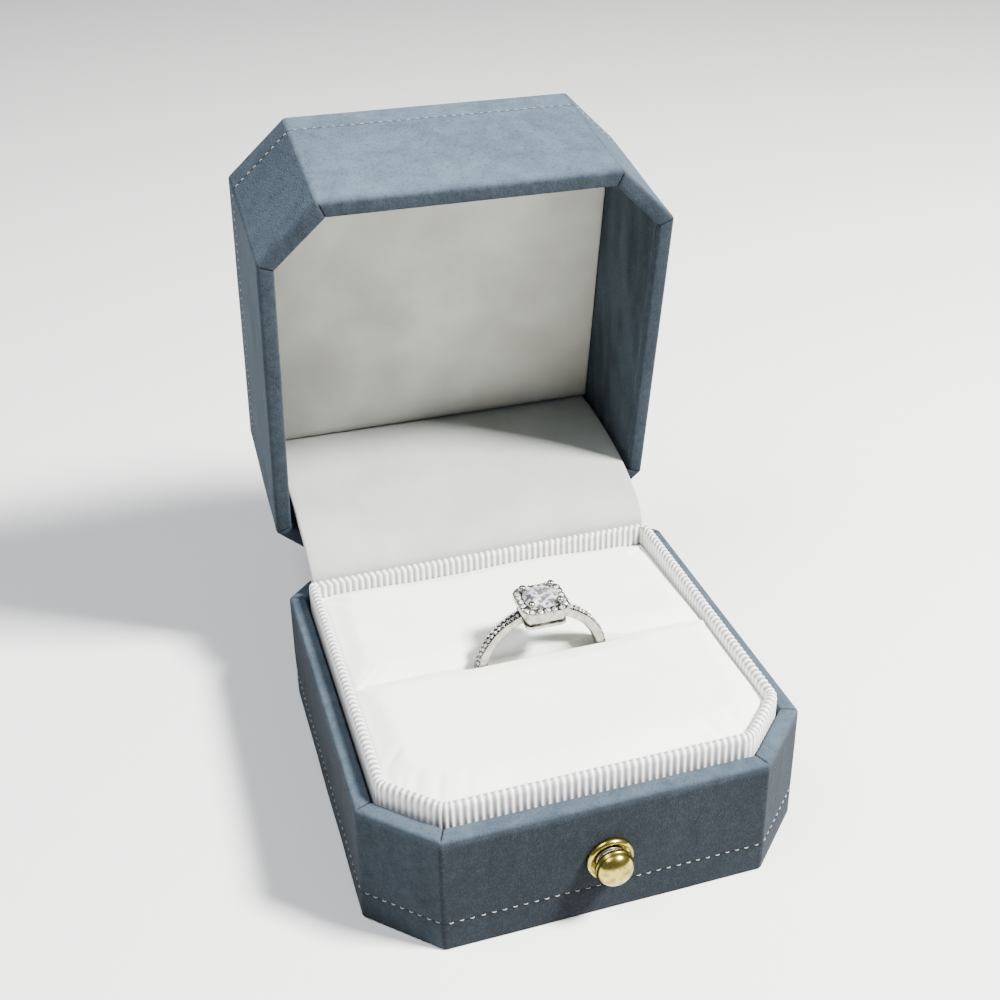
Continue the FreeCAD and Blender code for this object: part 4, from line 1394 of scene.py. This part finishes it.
def ring_stones():
    z = STONE_LO.z + 2.2
    half = (STONE_HI.x - STONE_LO.x) / 2
    centre = Vector((HEAD_XY[0], HEAD_XY[1], z))
    big = brilliant(centre, half * 1.02, 3.0, 0.85, 2.0, 0.58, 0.12)
    stone = gather("center_brilliant", [big], False)
    ride(stone, "ring", "gem", GEM, "center_stone")
    small = []
    flat = Matrix.Identity(3)
    for x, y in seat_points(HALO_SEAT, HALO_SEAT_CORNER, HALO_COUNT):
        place = Vector((x, y, HALO_HI.z - 0.04))
        small.append(brilliant(place, HALO_STONE_R, 2.0, 0.2, 0.42, 0.50, 0.02, tilted(flat)))
    halo = gather("halo_brilliants", small, False)
    ride(halo, "ring", "gem", PAVE, "halo_stones")
    centre = Vector((RING_MID.x, RING_MID.y, (SHANK_LO.z + radius_out())))
    side = []
    for sx in (-1, 1):
        for i in range(SHOULDER_COUNT):
            a = math.radians(SHOULDER_FIRST + i * SHOULDER_STEP) * sx
            turn = Matrix.Rotation(a, 3, "Y")
            out = turn @ Vector((0, 0, 1))
            row = SHOULDER_ROW_Y if i % 2 else -SHOULDER_ROW_Y
            place = centre + out * (radius_out() + 0.02) + Vector((0, row, 0))
            side.append(brilliant(place, SHOULDER_STONE_R, 2.0, 0.17, 0.30, 0.50, 0.02, tilted(turn)))
    shoulder = gather("shoulder_brilliants", side, False)
    ride(shoulder, "ring", "gem", PAVE, "shoulder_stones")


def radius_out():
    return (SHANK_HI.x - SHANK_LO.x) / 2


def ring_metal():
    """Band with a rounded section, beads between the stones, claws and halo grains."""
    centre = Vector((RING_MID.x, RING_MID.y, SHANK_LO.z + radius_out()))
    r_out = radius_out()
    r_in = r_out - BAND_T
    half = BAND_HALF
    section = []
    for i in range(9):
        f = i / 8 * 2 - 1
        section.append((r_out - 0.16 * f * f, half * (0.94 * f)))
    section += [(r_out - 0.5, half), (r_in + 0.4, half * 0.98)]
    for i in range(7):
        f = 1 - i / 6 * 2
        section.append((r_in + 0.22 * f * f, half * 0.9 * f))
    section += [(r_in + 0.4, -half * 0.98), (r_out - 0.5, -half)]
    gap = math.degrees(math.asin(HEAD_HALF / r_out)) - 1.0
    rings = []
    for s in range(BAND_STEPS + 1):
        a = math.radians(gap + (360 - 2 * gap) * s / BAND_STEPS)
        ring = []
        for r, y in section:
            ring.append((centre.x + r * math.sin(a), centre.y + y, centre.z + r * math.cos(a)))
        rings.append(np.array(ring))
    points = np.concatenate(rings)
    faces = loft(rings, closed=False) + caps(BAND_STEPS + 1, len(section))
    last_stone = SHOULDER_FIRST + SHOULDER_STEP * SHOULDER_COUNT
    recess_shade = []
    for s in range(BAND_STEPS + 1):
        angle = gap + (360 - 2 * gap) * s / BAND_STEPS
        studded = min(angle, 360 - angle) < last_stone
        recess_shade += [RECESS_PAINTED_SHADE if studded and r > r_out - 0.12 else 0.0 for r, _ in section]
    band = make_mesh("ring_band", points, faces, True, {"recess_shade": recess_shade})
    band.data.set_sharp_from_angle(angle=math.radians(45))
    ride(band, "ring", "silver", SILVER, "ring_shank")

    grains = []
    for sx in (-1, 1):
        for i in range(SHOULDER_COUNT):
            a = math.radians(SHOULDER_FIRST + i * SHOULDER_STEP) * sx
            out = Vector((math.sin(a), 0, math.cos(a)))
            between = -SHOULDER_ROW_Y if i % 2 else SHOULDER_ROW_Y
            edges = [(-EDGE_GRAIN_Y, EDGE_GRAIN_R), (EDGE_GRAIN_Y, EDGE_GRAIN_R)]
            for row, radius in [(between, GRAIN_R)] + edges:
                place = centre + out * (r_out + 0.04) + Vector((0, row, 0))
                grains.append(bead(place, radius))
    for x, y in seat_points(HALO_SEAT + 0.46, 1.75, HALO_COUNT, 0.0):
        grains.append(bead(Vector((x, y, HALO_HI.z + 0.02)), HALO_OUTER_GRAIN_R))
    for x, y in seat_points(HALO_SEAT - 0.40, 1.0, HALO_COUNT, 0.0):
        grains.append(bead(Vector((x, y, HALO_HI.z + 0.02)), HALO_INNER_GRAIN_R))
    milgrain = gather("ring_grains", grains, True)
    ride(milgrain, "ring", "silver", SILVER)

    claws = [claw(sx, sy) for sx in (-1, 1) for sy in (-1, 1)]
    prongs = gather("ring_claws", claws, True)
    ride(prongs, "ring", "silver", SILVER, "ring_prongs")
    halo_plate()


def halo_plate():
    """The halo's plate: scalloped round the outside, with painted shade in the gaps between the stones."""
    count = HALO_COUNT * SCALLOP_STEPS
    z0 = HALO_LO.z
    z1 = HALO_HI.z
    half = (HALO_HI.x - HALO_LO.x) / 2
    outer = seat_points(half - 0.02, 1.8, count, 0.0)
    inner = seat_points(HALO_HOLE, 0.95, count, 0.0)
    wave = [abs(math.sin(math.pi * i / SCALLOP_STEPS)) for i in range(count)]
    # share of the way from the hole to the outside, height, how much painted shade
    rows = [(1.0, z0, 0.0), (1.0, z0 + 0.45, 0.0), (1.0, z1 - 0.14, 0.9), (1.0, z1, 0.25),
            (0.80, z1 - 0.02, 0.3), (0.45, z1 - 0.06, 0.4), (0.15, z1 - 0.02, 0.3), (0.0, z1, 0.1),
            (0.0, z0, 0.2)]
    rings = []
    recess_shade = []
    for share, z, dark in rows:
        ring = []
        for i in range(count):
            cut = SCALLOP_DEPTH * (1 - wave[i]) * (share > 0.9) * (z > z0 + 0.3)
            f = share - cut / (half - HALO_HOLE)
            x = inner[i][0] + (outer[i][0] - inner[i][0]) * f
            y = inner[i][1] + (outer[i][1] - inner[i][1]) * f
            ring.append((x, y, z))
            recess_shade.append(dark * (1.0 if share < 0.9 else 1 - wave[i]))
        rings.append(np.array(ring))
    plate = make_mesh("halo_plate", np.concatenate(rings), loft(rings), True, {"recess_shade": recess_shade})
    plate.data.set_sharp_from_angle(angle=math.radians(40))
    ride(plate, "ring", "silver", SILVER, "ring_halo")


def claw(sx, sy):
    """A tapered claw that leans in over the stone's corner and ends in a round tip."""
    lo, hi = box_mm("ring_prongs")
    reach = hi.x - HEAD_XY[0] - 0.42
    rings = []
    # height, radius, lean towards the stone
    rows = [(0.0, 0.30, 0.0), (0.6, 0.26, 0.0), (1.05, 0.24, -0.02), (1.25, 0.30, -0.05),
            (1.36, 0.46, -0.08), (1.52, 0.55, -0.10), (1.70, 0.54, -0.11), (1.86, 0.42, -0.12),
            (1.96, 0.19, -0.12), (2.0, 0.05, -0.12)]
    for rise, radius, lean in rows:
        ring = []
        for j in range(CLAW_SIDES):
            a = 2 * math.pi * j / CLAW_SIDES
            x = HEAD_XY[0] + sx * (reach + lean) + radius * math.cos(a)
            y = HEAD_XY[1] + sy * (reach + lean) + radius * math.sin(a)
            ring.append((x, y, lo.z + rise))
        rings.append(ring)
    points = [p for ring in rings for p in ring]
    return points, loft(rings, closed=False) + caps(len(rows), CLAW_SIDES)


# ---- studio ----
def floor():
    bpy.ops.mesh.primitive_plane_add(size=4.0, location=(0, 0, -0.00005))
    plane = bpy.context.object
    plane.name = "floor"
    g = Graph("floor_pale")
    tint = g.noise(4, 2.0)
    g.set(Base_Color=g.mix(tint, linear(226, 226, 224), linear(232, 231, 229)), Roughness=0.85)
    plane.data.materials.append(g.material)


def area_light(name, place, aim, size, power, colour):
    data = bpy.data.lights.new(name, "AREA")
    data.size = size
    data.energy = power
    data.color = colour
    lamp = bpy.data.objects.new(name, data)
    lamp.location = place
    lamp.rotation_mode = "QUATERNION"
    lamp.rotation_quaternion = (Vector(aim) - Vector(place)).to_track_quat("-Z", "Y")
    SCENE.collection.objects.link(lamp)


def studio():
    floor()
    world = bpy.data.worlds.new("studio")
    world.use_nodes = True
    back = world.node_tree.nodes["Background"]
    back.inputs["Color"].default_value = (0.86, 0.90, 1.0, 1.0)
    back.inputs["Strength"].default_value = 0.28
    SCENE.world = world
    aim = (0.0, 0.0, 0.02)
    area_light("key", (0.34, -0.22, 0.52), aim, 0.12, 25.0, (1.0, 0.99, 0.96))
    area_light("fill", (-0.28, -0.06, 0.60), aim, 0.30, 4.0, (0.92, 0.96, 1.0))


CAMERA_PLACE = (-0.05229, -0.16307, 0.14677)
CAMERA_BACK = (-0.27584, -0.84579, 0.45668)
CAMERA_RIGHT = (0.94994, -0.31239, -0.00478)


def camera():
    data = bpy.data.cameras.new("camera")
    data.lens = 50.3
    data.sensor_width = 36.0
    data.shift_x = -0.033
    data.shift_y = -0.086
    data.clip_start = 0.005
    data.clip_end = 20.0
    eye = bpy.data.objects.new("camera", data)
    back = Vector(CAMERA_BACK).normalized()
    right = Vector(CAMERA_RIGHT).normalized()
    up = back.cross(right).normalized()
    eye.matrix_world = Matrix((
        (right.x, up.x, back.x, CAMERA_PLACE[0]),
        (right.y, up.y, back.y, CAMERA_PLACE[1]),
        (right.z, up.z, back.z, CAMERA_PLACE[2]),
        (0, 0, 0, 1)))
    SCENE.collection.objects.link(eye)
    SCENE.camera = eye


camera()
dress_cad_nodes()
base_suede()
lid_suede()
lid_top()
base_underside()
lid_lining()
stitch_row("base_stitches", STITCH_Z, lambda p: p, "base", "base_stitching", 31)
stitch_row("lid_stitches", LID_STITCH_Z, swung_open, "lid", "lid_stitching", 32)
liner_ribbon()
pad("front_pad", FRONT_PAD[0].z, -1, front_level, "front_pad_foam", "front_pad_velvet")
pad("rear_pad", REAR_PAD[0].z, 1, rear_level, "rear_pad_foam", "rear_pad_velvet")
lid_panel()
hinge_flap()
hinge_spring()
button()
ring_metal()
ring_stones()
studio()
bpy.context.view_layer.update()
